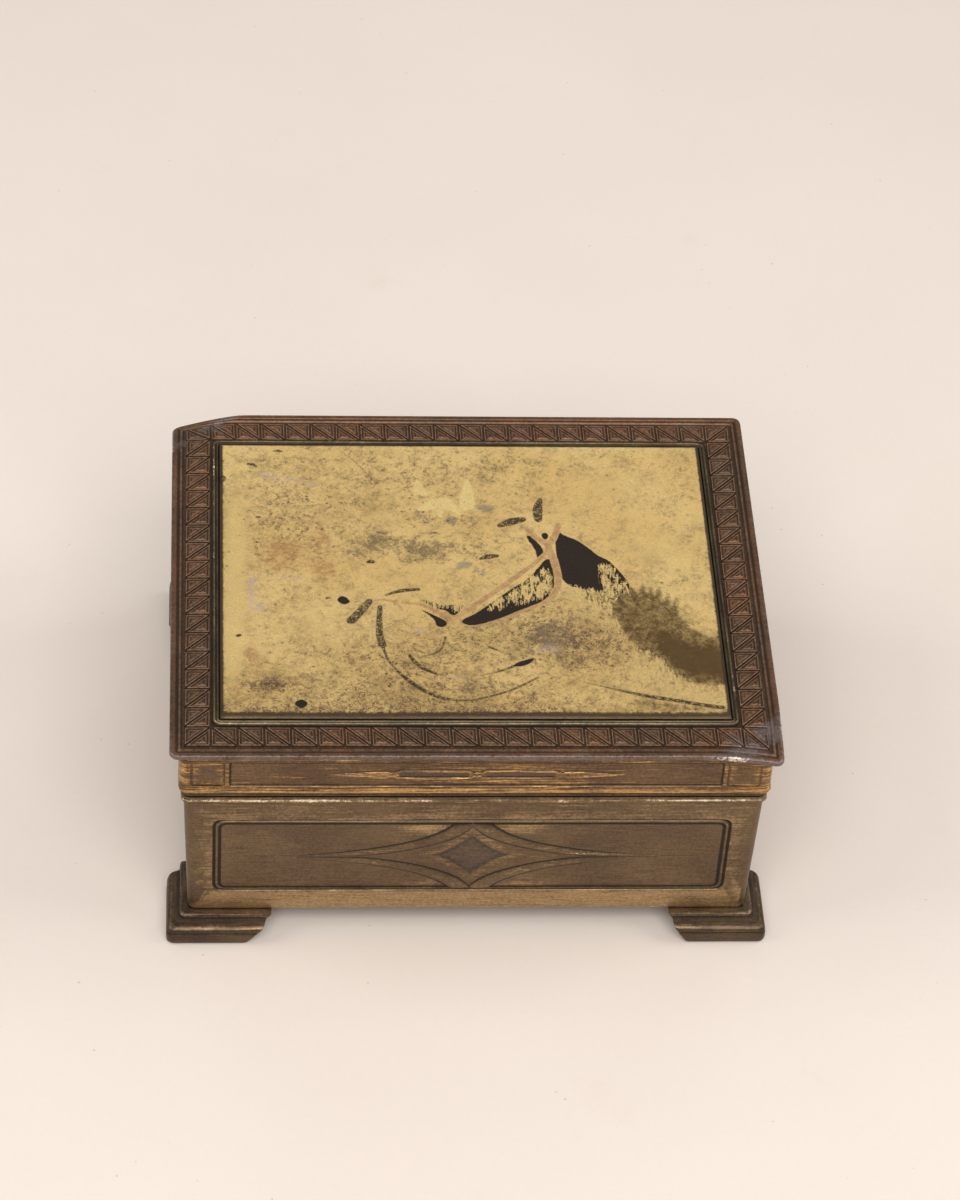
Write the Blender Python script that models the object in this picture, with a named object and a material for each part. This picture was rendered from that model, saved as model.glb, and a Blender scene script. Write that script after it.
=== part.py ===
"""Hinged metal table box on four bracket feet, with a cedar liner.

Metres, +Z up, +X to the right, +Y to the back where the hinges are. The origin is on the
ground under the middle of the box. The lid turns about the hinge pins.
"""

from math import atan2, cos, pi, radians, sin

import bmesh
import bpy
from mathutils import Matrix, Vector

# Lid flange: the widest sheet of the lid.
LID_WIDTH = 0.120
LID_DEPTH = 0.0992
LID_TOP = 0.0535
FLANGE = 0.0012
FLANGE_CORNER = 0.0012

# Case walls lean in a little towards the bottom. Depth follows width by a fixed difference.
DEPTH_LESS = 0.0096  # a half depth is the half width less this
CASE_BOTTOM = 0.0062
CASE_HALF_BOTTOM = 0.0565
CASE_HALF_TOP = 0.05726
RIM_BOTTOM = 0.0383
RIM_TOP = 0.0401
WALL = 0.0018
WALL_CORNER = 0.0016

# Panels sunk into the case: height from and to, depth, and how much shorter than the wall's half.
CASE_PANEL = (0.0121, 0.0324)
CASE_PANEL_DEPTH = 0.0005
CASE_PANEL_INSET = 0.0054

# Lid skirt, under the flange, with its own sunk panels.
SKIRT_BOTTOM = 0.0405
SKIRT_INNER_HALF = 0.0559
SKIRT_HALF = 0.0581
SKIRT_PANEL = (0.0442, 0.0503)
SKIRT_PANEL_DEPTH = 0.0004
SKIRT_PANEL_INSET = 0.0096
PANEL_CORNER = 0.0012

# Picture plate on the lid, the bezel round it and the board inside the lid.
PLATE_HALF = (0.0501, 0.0397)
PLATE_CORNER = 0.0008
BEZEL_OUTER = (0.0519, 0.0415)
BEZEL_INNER = (0.0503, 0.0399)
BEZEL_CORNER = 0.0006
BEZEL_HEIGHT = 0.0005
LINING_HALF = (0.0553, 0.0457)
LINING_CUT = (0.0065, 0.0055)
LINING_THICKNESS = 0.0013

# Feet: height under the case, reach past the wall, and length of the wings from the wall's corner.
FOOT_TOP = 0.0059
FOOT_PROUD = 0.0043
WING_FRONT = (0.0115, 0.0168)  # at the ground, at the top
WING_SIDE = (0.0070, 0.0130)

# Hinges.
HINGE_X = 0.034
HINGE_LENGTH = 0.018
AXIS_Y = 0.04955
AXIS_Z = 0.0407
KNUCKLE_RADIUS = 0.0012
BORE_RADIUS = 0.00062
PIN_RADIUS = 0.0005
LEAF = 0.0007
CASE_LEAF_FACE = AXIS_Y - 0.00105  # inner face of the leaf beside the rim
LID_LEAF_FACE = AXIS_Y - 0.00075
CASE_RIVET_Z = 0.0342
LID_RIVET_Z = 0.0472
LID_KNUCKLE = 0.0029  # half length of the middle knuckle
KNUCKLE_GAP = 0.0003
OPEN_ANGLE = radians(97)

RIVET_RADIUS = 0.0006
RIVET_HEAD = 0.0011
RIVET_OFFSET = 0.005
FIT = 0.0001  # room round rivets and under plates laid on each other
GAP = 0.0003  # room between neighbours

# Liner.
BOARD = 0.002
LINER_FLOOR_BOTTOM = 0.0079
LINER_TOP = 0.0388
DIVIDER_TOP = 0.034
BOTTOM_PLATE = (0.0066, 0.0076)

# Bent corners of the lid: sign of x and y, reach of the bend along x and y, drop of the tip.
BENT_CORNERS = (
    (-1, 1, 0.0148, 0.0125, 0.0040),
    (1, -1, 0.0150, 0.0130, 0.0022),
)

CORNER_STEPS = 4
ROUND_STEPS = 16


def clear_scene():
    for old in list(bpy.data.objects):
        bpy.data.objects.remove(old)


def material(name, colour, roughness, metallic):
    made = bpy.data.materials.new(name)
    made.use_nodes = True
    shader = made.node_tree.nodes["Principled BSDF"]
    shader.inputs["Base Color"].default_value = (*colour, 1)
    shader.inputs["Roughness"].default_value = roughness
    shader.inputs["Metallic"].default_value = metallic
    return made


def add_object(name, mesh, finish, parent):
    made = bpy.data.objects.new(name, mesh)
    bpy.context.scene.collection.objects.link(made)
    mesh.materials.append(finish)
    mesh.shade_smooth()
    mesh.set_sharp_from_angle(angle=radians(35))
    if parent:
        made.parent = parent
        made.matrix_parent_inverse = parent.matrix_world.inverted()
    return made


def finish_mesh(name, bm):
    bmesh.ops.recalc_face_normals(bm, faces=bm.faces)
    mesh = bpy.data.meshes.new(name)
    bm.to_mesh(mesh)
    bm.free()
    return mesh


def rounded_loop(half_x, half_y, corner, z):
    """Points of a rounded rectangle at one height, anticlockwise from the right side."""
    points = []
    for turn, (side_x, side_y) in enumerate(((1, 1), (-1, 1), (-1, -1), (1, -1))):
        centre_x = side_x * (half_x - corner)
        centre_y = side_y * (half_y - corner)
        for step in range(CORNER_STEPS + 1):
            angle = pi / 2 * (turn + step / CORNER_STEPS)
            points.append(
                Vector((centre_x + corner * cos(angle), centre_y + corner * sin(angle), z))
            )
    return points


def loft(name, loops, hollow):
    """Skins a stack of loops. A hollow stack closes on itself, another one gets two end faces."""
    bm = bmesh.new()
    rows = [[bm.verts.new(point) for point in loop] for loop in loops]
    pairs = list(zip(rows, rows[1:]))
    if hollow:
        pairs.append((rows[-1], rows[0]))
    else:
        bm.faces.new(rows[0])
        bm.faces.new(rows[-1])
    for low, high in pairs:
        for i, vertex in enumerate(low):
            j = (i + 1) % len(low)
            bm.faces.new((vertex, low[j], high[j], high[i]))
    return finish_mesh(name, bm)


def band(outer, inner, corner):
    """Loops of a wall that runs round the box: outer profile going up, inner one coming down."""
    loops = [rounded_loop(half, half - DEPTH_LESS, corner, z) for half, z in outer]
    inner_corner = corner / 2
    loops += [rounded_loop(half, half - DEPTH_LESS, inner_corner, z) for half, z in inner]
    return loops


def block(name, low, high):
    bm = bmesh.new()
    bmesh.ops.create_cube(bm, size=1)
    low, high = Vector(low), Vector(high)
    for vertex in bm.verts:
        for axis in range(3):
            share = vertex.co[axis] + 0.5
            vertex.co[axis] = low[axis] + share * (high[axis] - low[axis])
    return finish_mesh(name, bm)


def extrude_along_x(name, outline, low_x, high_x):
    """Solid with a (y, z) outline between two values of x."""
    ends = [[Vector((x, y, z)) for y, z in outline] for x in (low_x, high_x)]
    return loft(name, ends, hollow=False)


def rod(name, radius, start, end, steps=ROUND_STEPS):
    """Cylinder between two points."""
    start, end = Vector(start), Vector(end)
    along = end - start
    bm = bmesh.new()
    turn = along.to_track_quat("Z", "Y").to_matrix().to_4x4()
    bmesh.ops.create_cone(
        bm,
        cap_ends=True,
        segments=steps,
        radius1=radius,
        radius2=radius,
        depth=along.length,
        matrix=Matrix.Translation((start + end) / 2) @ turn,
    )
    return finish_mesh(name, bm)


def combine(target, other_mesh, operation):
    """Leaves a live Boolean with a hidden helper object on the target."""
    helper = bpy.data.objects.new("helper_" + other_mesh.name, other_mesh)
    bpy.context.scene.collection.objects.link(helper)
    helper.hide_render = True
    helper.display_type = "WIRE"
    modifier = target.modifiers.new(other_mesh.name, "BOOLEAN")
    modifier.operation = operation
    modifier.object = helper


def corner_drop(x, y):
    """How far the bent corners hang below the flat lid at a place."""
    total = 0.0
    for side_x, side_y, reach_x, reach_y, drop in BENT_CORNERS:
        from_x = LID_WIDTH / 2 - side_x * x
        from_y = LID_DEPTH / 2 - side_y * y
        share = max(0.0, 1 - from_x / reach_x - from_y / reach_y)
        total += drop * share**1.3
    return total


def bend_corners(mesh, full_height, zero_height=None):
    """Cuts a sheet along the creases and lets its corners down, less towards zero_height."""
    bm = bmesh.new()
    bm.from_mesh(mesh)
    for side_x, side_y, reach_x, reach_y, _ in BENT_CORNERS:
        corner = Vector((side_x * LID_WIDTH / 2, side_y * LID_DEPTH / 2, 0))
        normal = Vector((side_x / reach_x, side_y / reach_y, 0)).normalized()
        for share in (1.0, 0.66, 0.33):
            point = corner - Vector((side_x * reach_x * share, 0, 0))
            geometry = bm.verts[:] + bm.edges[:] + bm.faces[:]
            bmesh.ops.bisect_plane(bm, geom=geometry, dist=1e-7, plane_co=point, plane_no=normal)
    bmesh.ops.triangulate(bm, faces=bm.faces)
    for vertex in bm.verts:
        share = 1.0
        if zero_height is not None:
            share = (vertex.co.z - zero_height) / (full_height - zero_height)
        vertex.co.z -= share * corner_drop(vertex.co.x, vertex.co.y)
    bm.to_mesh(mesh)
    bm.free()


def wall_half(z):
    share = (z - CASE_BOTTOM) / (RIM_BOTTOM - CASE_BOTTOM)
    return CASE_HALF_BOTTOM + share * (CASE_HALF_TOP - CASE_HALF_BOTTOM)


def sink_panels(target, heights, half, lean, inset, depth):
    """Sinks a rounded panel into each side: 0 front, 1 right, 2 back, 3 left."""
    low_z, high_z = heights
    proud = 0.002
    for side in range(4):
        along, face = (half, half - DEPTH_LESS) if side % 2 == 0 else (half - DEPTH_LESS, half)
        name = f"{target.name}_panel_{side}"
        loops = [
            rounded_loop(along - inset, (high_z - low_z) / 2, PANEL_CORNER, z)
            for z in (-depth, proud)
        ]
        mesh = loft(name, loops, hollow=False)
        place = Matrix.Translation((0, -face, (low_z + high_z) / 2))
        upright = Matrix.Rotation(pi / 2 + lean, 4, "X")
        mesh.transform(Matrix.Rotation(side * pi / 2, 4, "Z") @ place @ upright)
        combine(target, mesh, "DIFFERENCE")


def case_shell(finish):
    outer = (
        (CASE_HALF_BOTTOM, CASE_BOTTOM),
        (CASE_HALF_TOP, RIM_BOTTOM),
        (0.0577, 0.0386),
        (0.05785, 0.0392),
        (0.05775, 0.0398),
        (0.0573, RIM_TOP),
    )
    inner = ((CASE_HALF_TOP - WALL, RIM_TOP), (CASE_HALF_BOTTOM - WALL, CASE_BOTTOM))
    mesh = loft("case_shell", band(outer, inner, WALL_CORNER), hollow=True)
    shell = add_object("case_shell", mesh, finish, None)
    lean = atan2(CASE_HALF_TOP - CASE_HALF_BOTTOM, RIM_BOTTOM - CASE_BOTTOM)
    half = wall_half(sum(CASE_PANEL) / 2)
    sink_panels(shell, CASE_PANEL, half, lean, CASE_PANEL_INSET, CASE_PANEL_DEPTH)
    return shell


def foot(name, side_x, side_y, finish):
    """Bracket foot: one moulded profile run along the front and the side of a corner."""
    profile = (
        (0.0, FOOT_TOP),
        (0.0011, FOOT_TOP),
        (0.0015, 0.0054),
        (0.0016, 0.0049),
        (0.0029, 0.0046),
        (0.0038, 0.0043),
        (FOOT_PROUD, 0.0038),
        (FOOT_PROUD, 0.0),
        (0.0014, 0.0),
        (0.0012, 0.0030),
        (-0.0014, 0.0044),
        (-0.0014, FOOT_TOP),
    )
    half_x = CASE_HALF_BOTTOM
    half_y = CASE_HALF_BOTTOM - DEPTH_LESS

    def wing_end(wing, z):
        return wing[0] + (wing[1] - wing[0]) * z / FOOT_TOP

    front = [Vector((half_x - wing_end(WING_FRONT, z), half_y + out, z)) for out, z in profile]
    mitre = [Vector((half_x + out, half_y + out, z)) for out, z in profile]
    side = [Vector((half_x + out, half_y - wing_end(WING_SIDE, z), z)) for out, z in profile]
    mesh = loft(name, (front, mitre, side), hollow=False)
    mesh.transform(Matrix.Diagonal((side_x, side_y, 1, 1)))
    if side_x * side_y < 0:
        mesh.flip_normals()
    return add_object(name, mesh, finish, None)


def liner(finish):
    floor_top = LINER_FLOOR_BOTTOM + BOARD
    half_x = CASE_HALF_BOTTOM - WALL - GAP
    half_y = half_x - DEPTH_LESS
    low = floor_top + GAP
    inner_y = half_y - BOARD - GAP
    side_x = half_x - BOARD
    boards = {
        "liner_floor": ((-half_x, -half_y, LINER_FLOOR_BOTTOM), (half_x, half_y, floor_top)),
        "liner_left": ((-half_x, -half_y, low), (-side_x, half_y, LINER_TOP)),
        "liner_right": ((side_x, -half_y, low), (half_x, half_y, LINER_TOP)),
        "liner_front": ((GAP - side_x, -half_y, low), (side_x - GAP, BOARD - half_y, LINER_TOP)),
        "liner_back": ((GAP - side_x, half_y - BOARD, low), (side_x - GAP, half_y, LINER_TOP)),
        "liner_divider": ((-BOARD / 2, -inner_y, low), (BOARD / 2, inner_y, DIVIDER_TOP)),
    }
    for name, (corner_low, corner_high) in boards.items():
        add_object(name, block(name, corner_low, corner_high), finish, None)


def bottom_plate(finish):
    half_x = CASE_HALF_BOTTOM - WALL - GAP
    loops = [rounded_loop(half_x, half_x - DEPTH_LESS, PLATE_CORNER, z) for z in BOTTOM_PLATE]
    return add_object("bottom_plate", loft("bottom_plate", loops, hollow=False), finish, None)


def lid_top_plate(finish, parent):
    edge = 0.0003
    half_x, half_y = LID_WIDTH / 2, LID_DEPTH / 2
    loops = (
        rounded_loop(half_x - edge, half_y - edge, FLANGE_CORNER, LID_TOP - FLANGE),
        rounded_loop(half_x, half_y, FLANGE_CORNER, LID_TOP - FLANGE + edge),
        rounded_loop(half_x, half_y, FLANGE_CORNER, LID_TOP - edge),
        rounded_loop(half_x - edge, half_y - edge, FLANGE_CORNER, LID_TOP),
    )
    mesh = loft("lid_top_plate", loops, hollow=False)
    bend_corners(mesh, LID_TOP)
    return add_object("lid_top_plate", mesh, finish, parent)


def lid_skirt(finish, parent):
    top = LID_TOP - FLANGE - GAP
    outer = (
        (0.0569, SKIRT_BOTTOM),
        (0.0574, 0.0408),
        (0.0577, 0.0415),
        (0.0579, 0.0432),
        (SKIRT_HALF, 0.0450),
        (SKIRT_HALF, 0.0495),
        (0.0579, top),
    )
    inner = ((SKIRT_INNER_HALF, top), (SKIRT_INNER_HALF, SKIRT_BOTTOM))
    mesh = loft("lid_skirt", band(outer, inner, WALL_CORNER), hollow=True)
    bend_corners(mesh, top, SKIRT_BOTTOM)
    skirt = add_object("lid_skirt", mesh, finish, parent)
    sink_panels(skirt, SKIRT_PANEL, SKIRT_HALF, 0.0, SKIRT_PANEL_INSET, SKIRT_PANEL_DEPTH)
    return skirt


def plate_bezel(finish, parent):
    low, high = LID_TOP + FIT, LID_TOP + BEZEL_HEIGHT
    slope = 0.0004
    crest = (BEZEL_OUTER[0] - slope, BEZEL_OUTER[1] - slope)
    loops = [
        rounded_loop(*BEZEL_OUTER, BEZEL_CORNER, low),
        rounded_loop(*crest, BEZEL_CORNER, high),
        rounded_loop(*BEZEL_INNER, BEZEL_CORNER, high),
        rounded_loop(*BEZEL_INNER, BEZEL_CORNER, low),
    ]
    return add_object("plate_bezel", loft("plate_bezel", loops, hollow=True), finish, parent)


def picture_plate(finish, parent):
    low = LID_TOP + FIT
    half_x, half_y = PLATE_HALF
    profile = ((0, 0), (0, 0.0002), (0.0003, 0.0005), (0.0010, 0.0007))
    loops = [
        rounded_loop(half_x - inset, half_y - inset, PLATE_CORNER, low + rise)
        for inset, rise in profile
    ]
    return add_object("picture_plate", loft("picture_plate", loops, hollow=False), finish, parent)


def lid_lining(finish, parent):
    """Thin board inside the lid, its corners cut off clear of the bent ones."""
    half_x, half_y = LINING_HALF
    cut_x, cut_y = LINING_CUT
    ring = []
    for side_x, side_y, x_first in ((1, 1, True), (-1, 1, False), (-1, -1, True), (1, -1, False)):
        near_side = (side_x * half_x, side_y * (half_y - cut_y))
        near_end = (side_x * (half_x - cut_x), side_y * half_y)
        ring += [near_side, near_end] if x_first else [near_end, near_side]
    top = LID_TOP - FLANGE - GAP
    loops = [[Vector((x, y, z)) for x, y in ring] for z in (top - LINING_THICKNESS, top)]
    return add_object("lid_lining", loft("lid_lining", loops, hollow=False), finish, parent)


def knuckle(name, low_x, high_x):
    return rod(name, KNUCKLE_RADIUS, (low_x, AXIS_Y, AXIS_Z), (high_x, AXIS_Y, AXIS_Z))


def bore_hinge(leaf, name, centre):
    reach = HINGE_LENGTH
    axis_low = (centre - reach, AXIS_Y, AXIS_Z)
    axis_high = (centre + reach, AXIS_Y, AXIS_Z)
    combine(leaf, rod(name + "_bore", BORE_RADIUS, axis_low, axis_high), "DIFFERENCE")


def rivet_places(centre):
    return [centre - RIVET_OFFSET, centre + RIVET_OFFSET]


def case_leaf_wall():
    """Inner face of the case leaf, just clear of the leaning back wall."""
    return wall_half(0.0379) - DEPTH_LESS + GAP


def case_leaf(name, centre, finish):
    """Cranked plate on the back wall with two outer knuckles."""
    face = CASE_LEAF_FACE
    wall = case_leaf_wall()
    outline = (
        (wall, 0.0305),
        (wall + LEAF, 0.0305),
        (wall + LEAF, 0.0376),
        (face + LEAF, 0.0382),
        (face + LEAF, AXIS_Z - KNUCKLE_RADIUS - GAP),
        (face, AXIS_Z - KNUCKLE_RADIUS - GAP),
        (face, 0.0380),
        (wall, 0.0375),
    )
    half = HINGE_LENGTH / 2
    mesh = extrude_along_x(name, outline, centre - half, centre + half)
    leaf = add_object(name, mesh, finish, None)
    gap = LID_KNUCKLE + KNUCKLE_GAP
    spans = {"a": (centre - half, centre - gap), "b": (centre + gap, centre + half)}
    for label, (low_x, high_x) in spans.items():
        web_outline = ((face, 0.0388), (face + LEAF, 0.0388), (AXIS_Y, AXIS_Z), (face, AXIS_Z))
        combine(leaf, extrude_along_x(f"{name}_web_{label}", web_outline, low_x, high_x), "UNION")
        combine(leaf, knuckle(f"{name}_knuckle_{label}", low_x, high_x), "UNION")
    bore_hinge(leaf, name, centre)
    return leaf


def lid_leaf(name, centre, finish, parent):
    """Plate on the back of the skirt with the middle knuckle and the lug that stops the lid."""
    face = LID_LEAF_FACE
    low_z = AXIS_Z + KNUCKLE_RADIUS + GAP
    outline = ((face, low_z), (face + LEAF, low_z), (face + LEAF, 0.0506), (face, 0.0506))
    half = HINGE_LENGTH / 2
    mesh = extrude_along_x(name, outline, centre - half, centre + half)
    leaf = add_object(name, mesh, finish, parent)
    low_x, high_x = centre - LID_KNUCKLE, centre + LID_KNUCKLE
    web = ((face, AXIS_Z), (AXIS_Y, AXIS_Z), (face + LEAF, low_z + 0.0004), (face, low_z + 0.0004))
    combine(leaf, extrude_along_x(name + "_web", web, low_x, high_x), "UNION")
    combine(leaf, knuckle(name + "_knuckle", low_x, high_x), "UNION")
    # The lug is drawn where it meets the case leaf, then turned back to the closed lid.
    lug_outline = ((-0.0003, -0.00165), (0.0003, -0.00165), (0.0006, -0.0008), (-0.0003, -0.0008))
    lug = extrude_along_x(name + "_lug", lug_outline, low_x, high_x)
    lug.transform(Matrix.Translation((0, AXIS_Y, AXIS_Z)) @ Matrix.Rotation(OPEN_ANGLE, 4, "X"))
    combine(leaf, lug, "UNION")
    bore_hinge(leaf, name, centre)
    return leaf


def rivet(name, x, z, head_y, tail_y, finish, parent):
    """Turned rivet along Y: domed head outside, shank through, flat clenched tail inside."""
    head = 0.0005
    tail = 0.0002
    stations = (
        (RIVET_HEAD * 0.35, head_y + head),
        (RIVET_HEAD * 0.8, head_y + head * 0.7),
        (RIVET_HEAD, head_y),
        (RIVET_RADIUS, head_y),
        (RIVET_RADIUS, tail_y),
        (RIVET_HEAD * 0.9, tail_y),
        (RIVET_HEAD * 0.9, tail_y - tail),
    )
    steps = 12
    loops = []
    for radius, y in stations:
        turns = [2 * pi * i / steps for i in range(steps)]
        loops.append([Vector((x + radius * cos(a), y, z + radius * sin(a))) for a in turns])
    return add_object(name, loft(name, loops, hollow=False), finish, parent)


def rivet_hole(target, name, x, z):
    start, end = (x, 0.040, z), (x, 0.055, z)
    combine(target, rod(name, RIVET_RADIUS + FIT, start, end, 12), "DIFFERENCE")


def hinge(label, centre, shell, skirt, finish, parent):
    lower = case_leaf(f"hinge_{label}_case_leaf", centre, finish)
    upper = lid_leaf(f"hinge_{label}_lid_leaf", centre, finish, parent)
    half = HINGE_LENGTH / 2 + 0.0003
    start, end = (centre - half, AXIS_Y, AXIS_Z), (centre + half, AXIS_Y, AXIS_Z)
    pin_name = f"hinge_{label}_pin"
    add_object(pin_name, rod(pin_name, PIN_RADIUS, start, end), finish, None)
    case_head = case_leaf_wall() + LEAF + FIT
    lid_head = LID_LEAF_FACE + LEAF + FIT
    case_tail = wall_half(CASE_RIVET_Z) - DEPTH_LESS - WALL + 0.0002
    lid_tail = SKIRT_INNER_HALF - DEPTH_LESS - FIT
    for number, x in enumerate(rivet_places(centre), 1):
        for body, leaf, z, head_y, tail_y, owner, lid in (
            ("case", lower, CASE_RIVET_Z, case_head, case_tail, shell, None),
            ("lid", upper, LID_RIVET_Z, lid_head, lid_tail, skirt, parent),
        ):
            name = f"hinge_{label}_{body}_rivet_{number}"
            rivet(name, x, z, head_y, tail_y, finish, lid)
            rivet_hole(leaf, name + "_leaf_hole", x, z)
            rivet_hole(owner, name + "_wall_hole", x, z)


def tail_pocket(shell):
    """Shallow sinks behind the wall give the rivets' tails room in front of the liner."""
    for side in (-1, 1):
        for x in rivet_places(side * HINGE_X):
            name = f"tail_pocket_{side}_{x:.3f}"
            back = wall_half(CASE_RIVET_Z) - DEPTH_LESS - WALL
            start, end = (x, back - 0.001, CASE_RIVET_Z), (x, back + GAP, CASE_RIVET_Z)
            combine(shell, rod(name, 0.0014, start, end, 12), "DIFFERENCE")


def build():
    clear_scene()
    bronze = material("patinated_bronze", (0.20, 0.105, 0.06), 0.42, 0.9)
    brass = material("case_brass", (0.27, 0.20, 0.10), 0.4, 0.9)
    dark = material("foot_brass", (0.13, 0.10, 0.06), 0.45, 0.85)
    gilt = material("gilt", (0.75, 0.58, 0.27), 0.32, 0.9)
    hinge_brass = material("hinge_brass", (0.33, 0.25, 0.13), 0.4, 0.9)
    cedar = material("cedar", (0.42, 0.21, 0.11), 0.6, 0.0)

    lid = bpy.data.objects.new("lid_axis", None)
    lid.location = (0, AXIS_Y, AXIS_Z)
    bpy.context.scene.collection.objects.link(lid)
    bpy.context.view_layer.update()

    shell = case_shell(brass)
    bottom_plate(brass)
    for front, side_y in (("front", -1), ("rear", 1)):
        for left, side_x in (("left", -1), ("right", 1)):
            foot(f"foot_{front}_{left}", side_x, side_y, dark)
    liner(cedar)
    lid_top_plate(bronze, lid)
    skirt = lid_skirt(brass, lid)
    plate_bezel(bronze, lid)
    picture_plate(gilt, lid)
    lid_lining(cedar, lid)
    for label, side in (("left", -1), ("right", 1)):
        hinge(label, side * HINGE_X, shell, skirt, hinge_brass, lid)
    tail_pocket(shell)


build()
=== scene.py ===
"""Looks of the hinged metal table box: cast reliefs, patina, gilt picture, cedar liner.

Sizes are in millimetres, in the frame of the CAD model. +X is to the right, +Y to the back where
the hinges are, +Z up. A point is turned into metres only when its mesh is made.
"""

from math import cos, pi, radians, sin

import bmesh
import bpy
import numpy as np
from mathutils import Matrix, Vector


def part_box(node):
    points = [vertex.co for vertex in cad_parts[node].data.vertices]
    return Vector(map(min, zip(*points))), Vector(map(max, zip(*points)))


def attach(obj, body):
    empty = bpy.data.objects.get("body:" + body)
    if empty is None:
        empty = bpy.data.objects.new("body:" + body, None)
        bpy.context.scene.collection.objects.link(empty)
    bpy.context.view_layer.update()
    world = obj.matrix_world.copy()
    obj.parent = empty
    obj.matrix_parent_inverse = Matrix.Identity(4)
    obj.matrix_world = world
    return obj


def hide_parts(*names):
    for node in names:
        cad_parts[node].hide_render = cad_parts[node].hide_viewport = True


MM = 0.001

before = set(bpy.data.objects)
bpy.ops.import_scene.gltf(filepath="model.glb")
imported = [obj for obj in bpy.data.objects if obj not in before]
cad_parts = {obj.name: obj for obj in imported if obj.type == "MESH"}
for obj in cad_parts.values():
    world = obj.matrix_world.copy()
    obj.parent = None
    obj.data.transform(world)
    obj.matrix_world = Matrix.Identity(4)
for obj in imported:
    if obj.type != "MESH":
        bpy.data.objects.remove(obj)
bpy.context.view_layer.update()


def box_mm(node):
    low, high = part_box(node)
    return low / MM, high / MM


# Sizes read from the frame.
LID_TOP = box_mm("lid_top_plate")[1].z
LID_HALF = (box_mm("lid_top_plate")[1].x, box_mm("lid_top_plate")[1].y)
PLATE_HALF = (box_mm("picture_plate")[1].x, box_mm("picture_plate")[1].y)
PLATE_TOP = box_mm("picture_plate")[1].z
SKIRT_BOTTOM = box_mm("lid_skirt")[0].z
SKIRT_TOP = box_mm("lid_skirt")[1].z
CASE_BOTTOM = box_mm("case_shell")[0].z
RIM_TOP = box_mm("case_shell")[1].z
RIM_HALF = box_mm("case_shell")[1].x
FOOT_TOP = box_mm("foot_front_left")[1].z

# Sizes of the looks.
DEPTH_LESS = LID_HALF[0] - LID_HALF[1] - 0.8  # a half depth of the case is its half width less this
WALL_BOTTOM_HALF = 56.5
WALL_TOP_HALF = 57.26
WALL_TOP = 38.3
WALL_CORNER = 1.6
WALL = 1.8
SKIRT_HALF = 58.1
SKIRT_INNER = 55.9
FLANGE = 1.2
TILE = 5.2
TILES_ACROSS = 22
TILES_DEEP = 18
BAND_FLOOR = 0.45  # the tiles stand on a floor this far below the lid's top

# The four corners, anticlockwise from the right back one: sign of x, sign of y.
CORNERS = ((1, 1), (-1, 1), (-1, -1), (1, -1))

# Bent lid corners: sign of x and y, reach of the bend along x and y, drop of the tip.
BENT_CORNERS = (
    (-1, 1, 14.8, 12.5, 4.0),
    (1, -1, 15.0, 13.0, 2.2),
)


# ---------------------------------------------------------------------------------------------
# Node wiring
# ---------------------------------------------------------------------------------------------


class Socket:
    """An output socket that can stand in a sum. Each operator adds one Math node."""

    def __init__(self, wiring, socket):
        self.wiring = wiring
        self.socket = socket

    def sum(self, operation, *terms):
        inputs = dict(enumerate(terms))
        return self.wiring.node("ShaderNodeMath", {"operation": operation}, inputs)

    def __add__(self, other):
        return self.sum("ADD", self, other)

    def __radd__(self, other):
        return self.sum("ADD", other, self)

    def __sub__(self, other):
        return self.sum("SUBTRACT", self, other)

    def __rsub__(self, other):
        return self.sum("SUBTRACT", other, self)

    def __mul__(self, other):
        return self.sum("MULTIPLY", self, other)

    def __rmul__(self, other):
        return self.sum("MULTIPLY", other, self)

    def __truediv__(self, other):
        return self.sum("DIVIDE", self, other)

    def __rtruediv__(self, other):
        return self.sum("DIVIDE", other, self)

    def __gt__(self, other):
        return self.sum("GREATER_THAN", self, other)

    def __abs__(self):
        return self.sum("ABSOLUTE", self)

    def smallest(self, other):
        return self.sum("MINIMUM", self, other)

    def largest(self, other):
        return self.sum("MAXIMUM", self, other)

    def rise(self, low, high):
        """0 below low and 1 above high, smooth between. low may be above high."""
        settings = {"interpolation_type": "SMOOTHSTEP"}
        if low < high:
            return self.wiring.node("ShaderNodeMapRange", settings, {0: self, 1: low, 2: high})
        ends = {0: self, 1: high, 2: low, 3: 1.0, 4: 0.0}
        return self.wiring.node("ShaderNodeMapRange", settings, ends)


class Wiring:
    """Nodes of one shader or geometry tree."""

    def __init__(self, tree):
        self.tree = tree

    def node(self, kind, settings=None, inputs=None, output=0):
        """Adds a node: its settings first, then the values or links of its sockets."""
        made = self.tree.nodes.new(kind)
        for setting, value in (settings or {}).items():
            setattr(made, setting, value)
        for name, value in (inputs or {}).items():
            if isinstance(value, Socket):
                self.tree.links.new(value.socket, made.inputs[name])
            else:
                made.inputs[name].default_value = value
        return Socket(self, made.outputs[output])


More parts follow.
